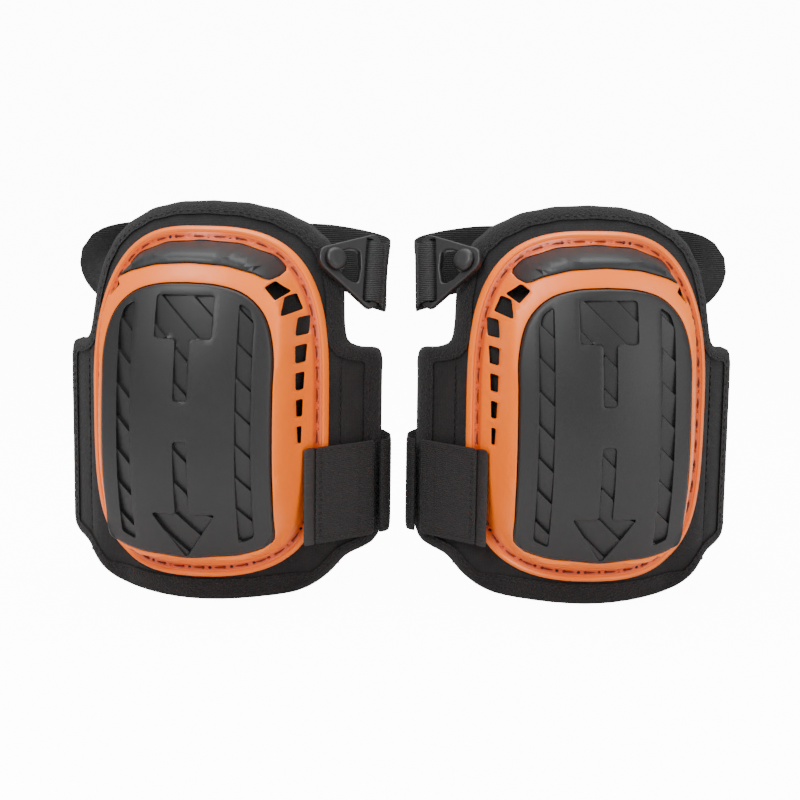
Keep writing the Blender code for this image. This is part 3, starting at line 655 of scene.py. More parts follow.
def build_liner(pad, looks):
    """The quilted liner, its looped binding with a sewn seam, and the wing's loop patch."""
    hole = [(x, max(z, 13.5)) for x, z in inset(EDGE, BINDING_WIDTH)]
    wing_seams = [[(side * 76.0, 16.0), (side * 76.5, 144.0)] for side in (-1.0, 1.0)]
    body = inset(EDGE, BINDING_WIDTH - 1.0)
    front = rumpled(puffed(liner, [hole, SHELL_OUTLINE, *wing_seams], 1.3, 8.0), 0.35, 14.0, 2.0)
    mesh = plate_mesh("liner", body, front, moved(liner, LINER_THICKNESS), 3.2,
                      rings=[inset(SHELL_OUTLINE, -1.5), inset(hole, 1.5)], lines=wing_seams)
    add_piece(pad, "liner_body", mesh, looks, "fabric", nodes=["liner_body"])

    front = eased(rumpled(moved(liner, -1.7), 0.45, 2.6, 7.0), [EDGE], 4.2)
    back = eased(rumpled(moved(liner, LINER_THICKNESS + 1.7), 0.45, 2.6, 9.0), [EDGE], -4.2)
    rings = [inset(EDGE, away) for away in (0.3, 1.1, 2.3, 3.8)]
    mesh = plate_mesh("binding", EDGE, front, back, 2.4, holes=[hole], rings=rings)
    add_piece(pad, "edge_binding", mesh, looks, "binding", nodes=["edge_binding"], crease=70.0)
    seam = on_field(moved(liner, -1.7), resampled(inset(hole, -2.0), 4.0))
    add_piece(pad, "binding_seam", stitch_mesh("seam", seam, outward, 3.2, 1.3, 0.42), looks, "thread")

    for side in (-1.0, 1.0):
        line = [Vector((side * 76.2, float(liner(side * 76.2, z)), z)) for z in np.linspace(17.0, 143.0, 30)]
        name = "inner" if side > 0.0 else "outer"
        add_piece(pad, f"wing_seam_{name}", stitch_mesh("wing_seam", line, outward, 3.0, 1.4, 0.4),
                  looks, "thread")

    patch = rounded([(73.0, 34.0), (84.0, 34.0), (84.0, 86.0), (73.0, 86.0)], 2.0, 4)
    mesh = plate_mesh("loop", patch, eased(moved(liner, -1.9), [patch], 0.6), moved(liner, 0.5), 2.0)
    add_piece(pad, "loop_patch", mesh, looks, "hook_loop", nodes=["loop_patch"])


def build_shell(pad, looks):
    """The moulded shell: bead, stitched groove, windows with rolled edges, and the rows of slots."""
    slots = [resampled(rounded(slot, 1.1, 3), 2.0) for slot in slot_outlines()]
    windows = [CAP_EDGE, BROW_EDGE]
    path, places = stitch_places()
    rings = [inset(SHELL_OUTLINE, away) for away in (0.7, 1.7, 2.7, BEAD_WIDTH, 4.4, 5.6, 6.9, FLANGE_WIDTH)]
    rings += [inset(window, -away) for window in windows for away in (0.35, 1.1)]
    rings += [inset(slot, -0.45) for slot in slots]
    rings += [circle(place, radius) for place in places for radius in (0.5, 1.1)]
    front = eased(dented(shell_front, places, 1.2, 1.2), [*windows, *slots], 1.0)
    mesh = plate_mesh("shell", SHELL_OUTLINE, front, shell_back, 2.8, holes=[*windows, *slots], rings=rings)
    x = np.array([v.co.x for v in mesh.vertices])
    z = np.array([v.co.z for v in mesh.vertices])
    away = distance_to(SHELL_OUTLINE, x, z)
    # A mask over the sewn groove, where the shell's material paints shade into its colour.
    groove = 0.75 * smooth(away, 3.0, 4.2) * (1.0 - smooth(away, 6.9, 8.6))
    mesh.attributes.new("groove", "FLOAT", "POINT").data.foreach_set("value", groove.astype(np.float32))
    add_piece(pad, "outer_shell", mesh, looks, "orange_shell", nodes=["outer_shell"])

    seat = [Vector((p.x, float(shell_front(np.array([p.x]), np.array([p.z]))[0]), p.z)) for p in path]
    length = sum((b - a).length for a, b in zip(seat, seat[1:])) / STITCH_COUNT
    thread = stitch_mesh("rim", seat, outward, length * 0.66, length * 0.34, 0.55)
    add_piece(pad, "rim_thread", thread, looks, "thread", nodes=["rim_thread"], look="rim_thread")


TREAD_PITCH = 18.5           # of the slanted steps, straight up the cap
STEP_AT = 0.96               # how far along each pitch its step starts


def tread_floor(slant):
    """How deep a recess's floor is along the slant: it climbs steadily, then drops in a sharp step."""
    phase = slant / TREAD_PITCH - np.floor(slant / TREAD_PITCH)
    climb = 2.5 - 1.9 * phase / STEP_AT
    step = 0.6 + 1.9 * (phase - STEP_AT) / (1.0 - STEP_AT)
    return np.where(phase < STEP_AT, climb, step)


def tread_creases(pad, treads):
    """The slanted lines across the recesses where their floors step, in short lengths."""
    found = []
    for count in range(-4, 18):
        for share in (0.0, STEP_AT):
            total = (count + share) * TREAD_PITCH
            drawn = np.arange(-48.0, 48.0, 1.6)
            x, z = pad.side * drawn, total - drawn
            within = np.any([inside(tread, x, z) for tread in treads], axis=0)
            for i in range(len(drawn) - 1):
                if within[i] and within[i + 1]:
                    found.append([(x[i], z[i]), (x[i + 1], z[i + 1])])
    return found


def build_cap(pad, looks):
    """The rubber tread cap: rounded edge, sharp recesses, and the slanted steps in their floors."""
    outline = inset(CAP_EDGE, 0.35)
    treads = [rounded([(pad.side * x, z) for x, z in tread], 2.2, 4) for tread in tread_outlines()]
    treads = [resampled(tread, 2.5) for tread in treads]
    wall = 0.45

    def front(x, z):
        away = np.min([distance_to(tread, x, z) for tread in treads], axis=0)
        within = np.any([inside(tread, x, z) for tread in treads], axis=0)
        floor = np.where(within, smooth(away, 0.0, wall) * tread_floor(pad.side * x + z), 0.0)
        lip = np.where(within, 0.0, 0.3 * (1.0 - smooth(away, 0.0, 0.8)))
        return moved(shell_front, -CAP_PROUD)(x, z) + (floor + lip) * np.sqrt(1.0 + (x / 80.0) ** 2)

    rings = [*treads, *[inset(tread, wall) for tread in treads], *[inset(tread, -0.7) for tread in treads]]
    rings += [inset(outline, away) for away in (0.25, 0.8, 1.5)]
    lines = tread_creases(pad, treads)
    mesh = plate_mesh("cap", outline, eased(front, [outline], 1.5), moved(shell_front, SHELL_THICKNESS), 2.4,
                      rings=rings, lines=lines)
    add_piece(pad, "tread_cap", mesh, looks, "tread_rubber", nodes=["tread_cap"], crease=32.0)

    brow = inset(BROW_EDGE, 0.35)
    mesh = plate_mesh("brow", brow, eased(moved(shell_front, -0.5), [brow], 1.1),
                      moved(shell_front, 2.0), 2.5,
                      rings=[inset(brow, 0.3), inset(brow, 0.9)])
    add_piece(pad, "brow_panel", mesh, looks, "gloss_panel", nodes=["brow_panel"])


def build_inside(pad, looks, lining):
    """What stands behind the shell and on the knee's side: inner shell, foam, gel, cushion and lining."""
    start = LINER_THICKNESS + SOFT_GAP
    under = superellipse(42.0, 181.0, 50.0, 3.2, 4.0, 80)
    inner = eased(moved(shell_front, SHELL_THICKNESS + 3.2), [under], 0.8)
    mesh = plate_mesh("inner", under, inner, moved(shell_front, SHELL_THICKNESS + 5.0), 5.0)
    add_piece(pad, "inner_shell", mesh, looks, "black_plastic", nodes=["inner_shell"])
    shock = superellipse(40.0, 178.0, 53.0, 3.2, 4.0, 80)
    mesh = plate_mesh("shock", shock, eased(moved(shell_front, SHELL_THICKNESS + 6.6), [shock], 3.0),
                      moved(liner, -1.0), 5.0)
    add_piece(pad, "shock_foam", mesh, looks, "foam", nodes=["shock_foam"])
    gel = superellipse(34.0, 158.0, 62.0, 2.2, 2.2, 60)
    mesh = plate_mesh("gel", gel, moved(liner, start), eased(moved(liner, start + 7.0), [gel], -3.0), 4.0)
    add_piece(pad, "gel_pad", mesh, looks, "gel", nodes=["gel_pad"])
    cushion = superellipse(62.0, 196.0, 26.0, 3.0, 3.0, 90)
    hole = superellipse(35.5, 159.5, 60.5, 2.2, 2.2, 60)
    mesh = plate_mesh("cushion", cushion, moved(liner, start),
                      eased(moved(liner, start + 7.0), [cushion, hole], -3.0),
                      4.0, holes=[hole])
    add_piece(pad, "knee_cushion", mesh, looks, "foam", nodes=["knee_cushion"])
    made = add_piece(pad, "knee_lining", lining.copy(), looks, "lining", nodes=["knee_lining"], crease=80.0)
    hem = superellipse(63.5, 197.0, 25.0, 3.0, 3.0, 120)
    seam = on_field(moved(liner, start + 9.4 + SOFT_GAP), hem)
    thread = stitch_mesh("hem", seam, lambda place: -outward(place), 3.0, 1.6, 0.4)
    add_piece(pad, "lining_seam", thread, looks, "thread")


# ---- materials ---------------------------------------------------------------------------------

def start_look(name, roughness, **sockets):
    """A new material with its shader, and the object coordinates that its patterns are drawn in."""
    made = bpy.data.materials.new(name)
    made.use_nodes = True
    tree = made.node_tree
    shader = tree.nodes["Principled BSDF"]
    shader.inputs["Roughness"].default_value = roughness
    for socket, value in sockets.items():
        shader.inputs[socket.replace("_", " ")].default_value = value
    place = tree.nodes.new("ShaderNodeTexCoord").outputs["Object"]
    return made, tree, shader, place


def texture(tree, kind, place, scale, **settings):
    """A texture node of a scale per metre, with its settings."""
    node = tree.nodes.new(kind)
    node.inputs["Scale"].default_value = scale
    tree.links.new(place, node.inputs["Vector"])
    for name, value in settings.items():
        if name in node.inputs:
            node.inputs[name].default_value = value
        else:
            setattr(node, name, value)
    return node


def tinted(tree, shader, factor, dark, light, low=0.3, high=0.7):
    """Colours the shader from dark to light as the factor goes from low to high."""
    ramp = tree.nodes.new("ShaderNodeValToRGB")
    ramp.color_ramp.elements[0].position = low
    ramp.color_ramp.elements[0].color = (*dark, 1.0)
    ramp.color_ramp.elements[1].position = high
    ramp.color_ramp.elements[1].color = (*light, 1.0)
    tree.links.new(factor, ramp.inputs["Fac"])
    tree.links.new(ramp.outputs["Color"], shader.inputs["Base Color"])
    return ramp


def embossed(tree, shader, heights, distance, strength=1.0):
    """Bumps from one or more height outputs, each laid over the one before."""
    last = None
    for height in heights:
        bump = tree.nodes.new("ShaderNodeBump")
        bump.inputs["Distance"].default_value = distance
        bump.inputs["Strength"].default_value = strength
        tree.links.new(height, bump.inputs["Height"])
        if last:
            tree.links.new(last.outputs["Normal"], bump.inputs["Normal"])
        last = bump
    tree.links.new(last.outputs["Normal"], shader.inputs["Normal"])


def varied_roughness(tree, shader, factor, low, high):
    """Roughness from low to high over a 0 to 1 factor."""
    spread = tree.nodes.new("ShaderNodeMapRange")
    spread.inputs["To Min"].default_value = low
    spread.inputs["To Max"].default_value = high
    tree.links.new(factor, spread.inputs["Value"])
    tree.links.new(spread.outputs["Result"], shader.inputs["Roughness"])


def woven_look(name, dark, light, thread, relief, sheen=0.25):
    """Plain woven cloth: a fine check of threads, with slow patches of lighter wear."""
    made, tree, shader, place = start_look(name, 0.9, Sheen_Weight=sheen, Sheen_Roughness=0.45)
    cloudy = texture(tree, "ShaderNodeTexNoise", place, 55.0, Detail=6.0)
    tinted(tree, shader, cloudy.outputs["Fac"], dark, light)
    warp = texture(tree, "ShaderNodeTexWave", place, 0.314 / thread, bands_direction="X", Distortion=1.2)
    weft = texture(tree, "ShaderNodeTexWave", place, 0.314 / thread, bands_direction="Z", Distortion=1.2)
    fuzz = texture(tree, "ShaderNodeTexNoise", place, 0.6 / thread, Detail=3.0)
    embossed(tree, shader, [warp.outputs["Fac"], weft.outputs["Fac"], fuzz.outputs["Fac"]], relief, 0.6)
    return made


def looped_look(name, dark, light, loop, relief, sheen):
    """Brushed or looped pile: rounded tufts with fibres between them."""
    made, tree, shader, place = start_look(name, 1.0, Sheen_Weight=sheen, Sheen_Roughness=0.6)
    tuft = texture(tree, "ShaderNodeTexVoronoi", place, 1.0 / loop, Randomness=1.0)
    fibre = texture(tree, "ShaderNodeTexNoise", place, 3.0 / loop, Detail=4.0)
    tinted(tree, shader, fibre.outputs["Fac"], dark, light, 0.35, 0.65)
    embossed(tree, shader, [tuft.outputs["Distance"], fibre.outputs["Fac"]], relief)
    return made


def ribbed_look(name, dark, light, pitch):
    """Elastic webbing: ribs along its length, crossed by a fine thread."""
    made, tree, shader, place = start_look(name, 0.75, Sheen_Weight=0.03, Sheen_Roughness=0.4)
    ribs = texture(tree, "ShaderNodeTexWave", place, 0.314 / pitch, bands_direction="Z", Distortion=0.4)
    cross = texture(tree, "ShaderNodeTexNoise", place, 0.9 / pitch, Detail=3.0)
    tinted(tree, shader, ribs.outputs["Fac"], dark, light, 0.1, 0.9)
    embossed(tree, shader, [ribs.outputs["Fac"], cross.outputs["Fac"]], 0.00025)
    varied_roughness(tree, shader, cross.outputs["Fac"], 0.62, 0.88)
    return made


def moulded_look(name, dark, light, low, high, grain, relief, **sockets):
    """Moulded plastic or rubber: a spark-eroded grain, faint flow marks, and a slightly uneven gloss."""
    made, tree, shader, place = start_look(name, low, **sockets)
    flow = texture(tree, "ShaderNodeTexNoise", place, 28.0, Detail=4.0, Distortion=0.6)
    tinted(tree, shader, flow.outputs["Fac"], dark, light)
    pits = texture(tree, "ShaderNodeTexNoise", place, 1.0 / grain, Detail=5.0)
    embossed(tree, shader, [pits.outputs["Fac"]], relief, 0.5)
    varied_roughness(tree, shader, flow.outputs["Fac"], low, high)
    return made


ORANGE_LOW, ORANGE_HIGH = (1.0, 0.165, 0.001), (1.0, 0.195, 0.002)
# Painted shade: the dark orange that the groove mask mixes into the shell's colour in the sewn groove.
ORANGE_GROOVE_SHADE = (0.45, 0.03, 0.002)


def shell_look():
    """The moulded shell: satin orange, darkened in the sewn groove by painted shade, and scuffed a little on
    the dome.
    """
    made, tree, shader, place = start_look("shell_orange", 0.4, Specular_IOR_Level=0.45, Coat_Weight=0.06,
                                           Coat_Roughness=0.3)
    flow = texture(tree, "ShaderNodeTexNoise", place, 20.0, Detail=5.0)
    ramp = tinted(tree, shader, flow.outputs["Fac"], ORANGE_LOW, ORANGE_HIGH)
    groove_shade = tree.nodes.new("ShaderNodeAttribute")
    groove_shade.attribute_name = "groove"
    mix = tree.nodes.new("ShaderNodeMix")
    mix.data_type = "RGBA"
    tree.links.new(groove_shade.outputs["Fac"], mix.inputs["Factor"])
    tree.links.new(ramp.outputs["Color"], mix.inputs["A"])
    mix.inputs["B"].default_value = (*ORANGE_GROOVE_SHADE, 1.0)
    tree.links.new(mix.outputs["Result"], shader.inputs["Base Color"])
    pits = texture(tree, "ShaderNodeTexNoise", place, 1600.0, Detail=3.0)
    scuffs = texture(tree, "ShaderNodeTexNoise", place, 160.0, Detail=8.0, Distortion=1.5)
    embossed(tree, shader, [pits.outputs["Fac"], scuffs.outputs["Fac"]], 0.00006, 0.5)
    varied_roughness(tree, shader, scuffs.outputs["Fac"], 0.3, 0.5)
    return made


def make_looks():
    return {
        "fabric": woven_look("liner_cloth", (0.0022, 0.0022, 0.0025), (0.0065, 0.006, 0.0065), 0.0009,
                             0.00018, 0.03),
        "binding": looped_look("binding_boucle", (0.0012, 0.001, 0.0012), (0.006, 0.005, 0.0062),
                               0.0014, 0.0006, 0.04),
        "lining": looped_look("lining_mesh", (0.004, 0.004, 0.0045), (0.012, 0.012, 0.013), 0.0018,
                              0.0004, 0.05),
        "foam": moulded_look("foam_cells", (0.01, 0.01, 0.011), (0.018, 0.018, 0.02), 0.85, 0.95,
                             0.0007, 0.0003),
        "gel": moulded_look("gel_soft", (0.02, 0.1, 0.3), (0.04, 0.16, 0.4), 0.2, 0.3, 0.002, 0.0001,
                            Subsurface_Weight=0.2),
        "hook_loop": looped_look("hook_loop_pile", (0.003, 0.003, 0.0035), (0.01, 0.01, 0.011), 0.0008,
                                 0.0004, 0.05),
        "orange_shell": shell_look(),
        "tread_rubber": moulded_look("tread_rubber", (0.0048, 0.0047, 0.0054), (0.0075, 0.0073, 0.0082),
                                     0.44, 0.54, 0.0006, 0.0001),
        "gloss_panel": moulded_look("brow_gloss", (0.0045, 0.005, 0.006), (0.007, 0.0078, 0.009), 0.46, 0.54,
                                    0.0005, 0.00003),
        "black_plastic": moulded_look("clip_plastic", (0.007, 0.007, 0.0078), (0.012, 0.012, 0.013),
                                      0.42, 0.52,
                                      0.0004, 0.00006),
        "thread": ribbed_look("thread_bonded", (0.004, 0.003, 0.003), (0.013, 0.01, 0.01), 0.0005),
        "rim_thread": ribbed_look("thread_rim", (0.1, 0.01, 0.003), (0.26, 0.03, 0.007), 0.0005),
        "elastic": ribbed_look("elastic_ribbed", (0.003, 0.003, 0.0034), (0.0085, 0.008, 0.009), 0.0012),
    }


# ---- the knee's lining -------------------------------------------------------------------------

def lining_mesh():
    """The padded mesh lining: swollen by air pressure as cloth, then drawn down along its sewn channels."""
    start = LINER_THICKNESS + SOFT_GAP + 7.0 + SOFT_GAP
    outline = superellipse(66.0, 200.0, 22.0, 3.0, 3.0, 120)
    mesh = plate_mesh("lining", inset(outline, 1.2), moved(liner, start), moved(liner, start + 2.2), 4.0)
    swell(mesh, 2.6)
    channels = [superellipse(34.0, 158.0, 62.0, 2.2, 2.2, 60), superellipse(52.0, 186.0, 36.0, 3.0, 3.0, 80)]
    x = np.array([v.co.x for v in mesh.vertices])
    z = np.array([v.co.z for v in mesh.vertices])
    middle = moved(liner, start + 1.1)(x, z)
    for channel in channels:
        drawn = 0.85 * np.exp(-(distance_to(channel, x, z) / 2.6) ** 2)
        for vertex, share, depth in zip(mesh.vertices, drawn, middle):
            if vertex.co.y > depth:
                vertex.co.y += share * (depth - vertex.co.y)
    return mesh


def swell(mesh, most):
    """Swells a thin closed cloth mesh with cloth pressure, and moves no point by more than the most."""
    scene = bpy.context.scene
    holder = bpy.data.objects.new("swelling", mesh)
    scene.collection.objects.link(holder)
    remesh = holder.modifiers.new("Voxels", "REMESH")
    remesh.mode = "VOXEL"
    remesh.voxel_size = 1.9
    holder.scale = (MM, MM, MM)
    bpy.context.view_layer.update()
    graph = bpy.context.evaluated_depsgraph_get()
    even = bpy.data.meshes.new_from_object(holder.evaluated_get(graph))
    bpy.data.objects.remove(holder)
    even.transform(Matrix.Scale(MM, 4))
    before = np.array([v.co[:] for v in even.vertices])
    cloth_object = bpy.data.objects.new("cloth", even)
    scene.collection.objects.link(cloth_object)
    cloth = cloth_object.modifiers.new("Cloth", "CLOTH")
    cloth.settings.quality = 4
    cloth.settings.use_pressure = True
    cloth.settings.uniform_pressure_force = 4.0
    cloth.settings.effector_weights.gravity = 0.0
    cloth.point_cache.frame_start, cloth.point_cache.frame_end = 1, 20
    for frame in range(1, 21):
        scene.frame_set(frame)
    settled = cloth_object.evaluated_get(bpy.context.evaluated_depsgraph_get()).to_mesh()
    after = np.array([v.co[:] for v in settled.vertices])
    cloth_object.evaluated_get(bpy.context.evaluated_depsgraph_get()).to_mesh_clear()
    scene.frame_set(1)
    bpy.data.objects.remove(cloth_object)
    move = after - before
    length = np.maximum(np.linalg.norm(move, axis=1), 1e-9)
    move *= np.minimum(1.0, most * MM / length)[:, None]
    even.vertices.foreach_set("co", ((before + move) / MM).ravel())
    form = bmesh.new()
    form.from_mesh(even)
    form.to_mesh(mesh)
    form.free()
    bpy.data.meshes.remove(even)


# ---- straps, clip and tab ----------------------------------------------------------------------

def build_clip(pad, looks):
    """The stud and its base, and the clip with its keyhole and its strap end folded round the bar."""
    origin, along, out = stud_frame()
    across = out.cross(along)
    seat = seat_at(origin, along, out)
    base = [(0.0, 4.5), (4.6, 4.5), (5.6, 4.2), (6.2, 3.4), (6.4, 2.4), (6.4, 1.4), (0.0, 1.4)]
    add_piece(pad, "stud_base", lathe_mesh("base", base, seat), looks, "black_plastic",
              nodes=["stud_base"])
    head = CLIP_LIFT + CLIP_THICKNESS + 0.5
    profile = [(0.0, head + 3.3), (2.5, head + 3.4), (4.4, head + 3.4), (5.6, head + 3.1), (6.4, head + 2.4),
               (6.8, head + 1.5), (6.7, head + 0.6), (6.2, head), (3.2, head), (3.2, 4.0), (0.0, 4.0)]
    add_piece(pad, "clip_stud", lathe_mesh("stud", profile, seat), looks, "black_plastic",
              body="stud", nodes=["clip_stud"])

    middle = seat_at(origin + out * (CLIP_LIFT + CLIP_THICKNESS / 2.0), along, out)
    outline, keyhole, slot = clip_loops()
    loops = [resampled(outline, 1.5), resampled(rounded(keyhole, 1.2, 3), 1.0), resampled(slot, 1.5)]
    mesh = cut_mesh("clip", loops, CLIP_THICKNESS, 0.9, middle)
    add_piece(pad, "strap_clip", mesh, looks, "black_plastic", body="clip", nodes=["strap_clip"])

    bar = CLIP_LENGTH - 11.0
    fold = [(bar + 8.0, 3.2), (bar + 6.0, 4.4), (bar + 3.4, 7.2), (bar + 0.6, 9.5), (bar - 2.6, 10.0),
            (bar - 5.4, 9.7), (bar - 7.3, 8.0), (bar - 7.6, 5.6), (bar - 6.6, 3.4), (bar - 4.0, 2.6)]
    path, _ = smooth_path([origin + along * a + out * b for a, b in fold], 60)
    loop = sweep_mesh("fold", path, [across] * len(path), strap_section(THIGH_STRAP_WIDTH - 2.0, 1.5))
    add_piece(pad, "strap_fold", loop, looks, "elastic", body="clip")


def anchor_frame():
    """Where the thigh strap's other end is sewn behind the liner, with its outward run and the way back."""
    x, z = ANCHOR_XZ
    back = -out_of(x, z)
    run = Vector((-0.77, 0.575, -0.2))
    run = (run - run.dot(back) * back).normalized()
    return Vector((x, float(liner(x, z)), z)) + back * (LINER_THICKNESS + 2.9), run, back


def thigh_route():
    """The thigh strap's path from the clip round to its sewn end, and the directions of its width."""
    origin, along, out = stud_frame()
    far, run, back = anchor_frame()
    bar = origin + along * (CLIP_LENGTH - 14.0) + out * (CLIP_LIFT - 1.0 - STRAP_THICKNESS / 2.0)
    route = [bar, bar + along * 8.0, Vector((94.0, 99.0, 185.0)), Vector((84.0, 114.0, 189.0)),
             Vector((60.0, STRAP_BACK - 2.0, 193.0)), Vector((36.0, STRAP_BACK, 194.0)),
             Vector((-34.0, STRAP_BACK, 194.0)), Vector((-56.0, STRAP_BACK - 4.0, 194.0)),
             Vector((-71.0, 110.0, 193.0)), Vector((-76.0, 94.0, 191.0)), far + run * 18.0 + back * 6.0,
             far + run * 11.0 + back * 0.7, far]
    path, places = smooth_path(route, 181)
    near_side, far_side = out.cross(along), run.cross(back)
    widths = [near_side.lerp(Vector((0, 0, 1)), float(smooth(p, 0.02, 0.3))) if p < 0.5
              else Vector((0, 0, 1)).lerp(far_side, float(smooth(p, 0.75, 0.97))) for p in places]
    return path, widths


def follow_tip(pad, strap, tip, turn):
    """Bakes the strap's placing into its mesh. The strap rides on no body, and the reach from its tip to its
    turn is worked out but not used.
    """
    away = tip - turn
    reach = (away.x - away.y) / 2.0
    pad.world(turn)
    pad.world(turn + Vector((reach, -reach, 0.0)))
    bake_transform(strap)


def build_thigh_strap(pad, looks):
    """The elastic round the thigh, its slider, and its end sewn to the liner."""
    path, widths = thigh_route()
    mesh = sweep_mesh("thigh", path, widths, strap_section(THIGH_STRAP_WIDTH, STRAP_THICKNESS))
    strap = add_piece(pad, "thigh_strap", mesh, looks, "elastic", body=None, nodes=["thigh_strap"])
    follow_tip(pad, strap, path[0], Vector((94.0, 99.0, 185.0)))
    far, run, back = anchor_frame()
    seat = seat_at(far + run * 6.5 + back * 2.3, run, back)
    half = THIGH_STRAP_WIDTH / 2.0 - 1.0
    plate = rounded([(-4.5, -half), (4.5, -half), (4.5, half), (-4.5, half)], 1.5, 3)
    mesh = cut_mesh("anchor", [resampled(plate, 2.0)], 1.6, 0.5, seat)
    add_piece(pad, "thigh_anchor", mesh, looks, "elastic", nodes=["thigh_anchor"])
    rows = [[seat @ Vector((x, y, 0.8)) for y in np.linspace(-half + 2.0, half - 2.0,
                                                             12)] for x in (-2.8, 0.0, 2.8)]
    for index, row in enumerate(rows):
        thread = stitch_mesh("bartack", row, lambda place: back, 2.2, 0.8, 0.4)
        add_piece(pad, f"bartack_{index}", thread, looks, "thread")

    slider = seat_at(Vector((14.0, STRAP_BACK, 194.0)), Vector((0.0, 0.0, 1.0)), Vector((1.0, 0.0, 0.0)))
    wide, deep = THIGH_STRAP_WIDTH / 2.0, STRAP_THICKNESS / 2.0
    outer = rounded([(-wide - 4, -deep - 2.6), (wide + 4, -deep - 2.6), (wide + 4, deep + 2.6),
                     (-wide - 4, deep + 2.6)], 2.2, 6)
    inner = [(-wide - 1, -deep - 0.5), (wide + 1, -deep - 0.5), (wide + 1, deep + 0.5),
             (-wide - 1, deep + 0.5)]
    mesh = cut_mesh("slider", [outer, inner], 12.0, 0.5, slider)
    add_piece(pad, "strap_slider", mesh, looks, "black_plastic", body="slider",
              nodes=["strap_slider"])


def build_calf_strap(pad, looks):
    """The wide elastic round the calf, and the tab that peels off the inner wing."""
    touch = 80.0
    slope = float(liner(touch + 0.5, 60.0) - liner(touch - 0.5, 60.0))
    start = float(liner(touch, 60.0))
    front = Vector((slope, -1.0, 0.0)).normalized()
    along = Vector((1.0, slope, 0.0)).normalized()

    def tangent(x, z):
        return start + slope * (x - touch) + 0.0 * z

    (left, right), (low, high) = TAB_X, TAB_Z
    tab = rounded([(left + 5.4, low), (right, low), (right, high), (left + 5.4, high)], 2.0, 4)
    face = rumpled(moved(tangent, -TAB_LIFT - TAB_THICKNESS), 0.25, 12.0, 4.0)
    mesh = plate_mesh("tab", tab, eased(face, [tab], 0.9), eased(moved(tangent, -TAB_LIFT), [tab],
                                                                 -0.6), 2.0,
                      rings=[inset(tab, 0.35), inset(tab, 1.0)])
    add_piece(pad, "strap_tab", mesh, looks, "elastic", body="tab", nodes=["strap_tab"])
    grip = rounded([(left, low), (left + 5.3, low), (left + 5.3, high), (left, high)], 1.6, 4)
    ribs = [[(left + 1.0, z), (left + 4.4, z)] for z in np.arange(low + 3.0, high - 2.0, 2.6)]
    ribs = [[(a[0], a[1] - 0.6), (b[0], b[1] - 0.6), (b[0], b[1] + 0.6), (a[0], a[1] + 0.6)] for a,
            b in ribs]
    raised = puffed(moved(tangent, -TAB_LIFT - TAB_THICKNESS + 0.3), [grip], 0.5, 1.4)

    def ribbed(x, z):
        on = np.any([inside(rib, x, z) for rib in ribs], axis=0)
        return raised(x, z) - 0.45 * on

    mesh = plate_mesh("grip", grip, ribbed, moved(tangent, -TAB_LIFT), 1.0,
                      rings=[*ribs, *[inset(rib, -0.35) for rib in ribs]])
    add_piece(pad, "tab_grip", mesh, looks, "tread_rubber", body="tab", nodes=["tab_grip"])
    hook = rounded([(73.0, low + 4.0), (84.0, low + 4.0), (84.0, high - 4.0), (73.0, high - 4.0)], 2.0, 4)
    mesh = plate_mesh("hook", hook, moved(tangent, -TAB_LIFT - 0.3), moved(tangent, -2.3), 2.0)
    add_piece(pad, "hook_patch", mesh, looks, "hook_loop", body="tab", nodes=["hook_patch"])
    seams = [inset(resampled(tab, 2.0), 2.4), [(left + 8.6, low + 3.0), (left + 8.6, high - 3.0)],
             [(right - 7.0, low + 3.0), (right - 7.0, high - 3.0)]]
    for index, seam in enumerate(seams):
        loop = resampled(seam, 3.0) if index == 0 else [tuple(Vector(seam[0]).lerp(Vector(seam[1]),
                                                                                   t / 20.0))
                                                       for t in range(21)]
        row = [Vector((x, float(face(np.array([x]), np.array([z]))[0]), z)) for x, z in loop]
        row = [*row, row[0]] if index == 0 else row
        thread = stitch_mesh("tab_seam", row, lambda place: front, 2.6, 1.0, 0.36)
        add_piece(pad, f"tab_seam_{index}", thread, looks, "thread", body="tab")

    middle = (low + high) / 2.0
    edge = Vector((right, tangent(right, middle), middle)) + front * (TAB_LIFT + TAB_THICKNESS / 2.0)
    ends = [(76.0, middle), (84.0, middle), (91.0, middle)]
    outer_wing = [Vector((-x, float(moved(liner, LINER_THICKNESS + 2.9)(x, z)), z)) for x, z in ends]
    route = [edge - along * 1.0, edge + along * 2.0, Vector((101.4, 73.5, middle)),
             Vector((100.5, 84.0, middle)),
             Vector((97.5, 94.0, middle)), Vector((86.0, 110.0, middle)),
             Vector((60.0, STRAP_BACK - 3.0, middle)),
             Vector((30.0, STRAP_BACK, middle)), Vector((-30.0, STRAP_BACK, middle)),
             Vector((-60.0, STRAP_BACK - 3.0, middle)), Vector((-82.0, 112.0, middle)),
             Vector((-93.0, 98.0, middle)), *reversed(outer_wing)]
    path, _ = smooth_path(route, 181)
    mesh = sweep_mesh("calf", path, [Vector((0, 0, 1))] * len(path),
                      strap_section(CALF_STRAP_WIDTH, 1.9, 40))
    strap = add_piece(pad, "calf_strap", mesh, looks, "elastic", body=None, nodes=["calf_strap"])
    follow_tip(pad, strap, edge, Vector((97.5, 94.0, middle)))
    patch = rounded([(-84.0, low + 6.0), (-77.0, low + 6.0), (-77.0, high - 6.0), (-84.0, high - 6.0)],
                    1.5, 3)
    back = moved(liner, LINER_THICKNESS + 5.6)
    mesh = plate_mesh("calf_anchor", patch, moved(liner, LINER_THICKNESS + 4.0),
                      eased(back, [patch], -0.6), 2.0)
    add_piece(pad, "calf_anchor", mesh, looks, "elastic", nodes=["calf_anchor"])
    row = on_field(back, inset(resampled(patch, 2.0), 1.6))
    thread = stitch_mesh("calf_seam", row, lambda place: -outward(place), 2.6, 1.0, 0.36)
    add_piece(pad, "calf_seam", thread, looks, "thread")


# ---- stage -------------------------------------------------------------------------------------

CAMERA_TARGET = (0.0, -0.03, 0.118)
CAMERA_DISTANCE = 0.95
CAMERA_ELEVATION = 9.0
CAMERA_ROLL = 0.8
CAMERA_WIDTH = 0.461         # metres across the view, at the target


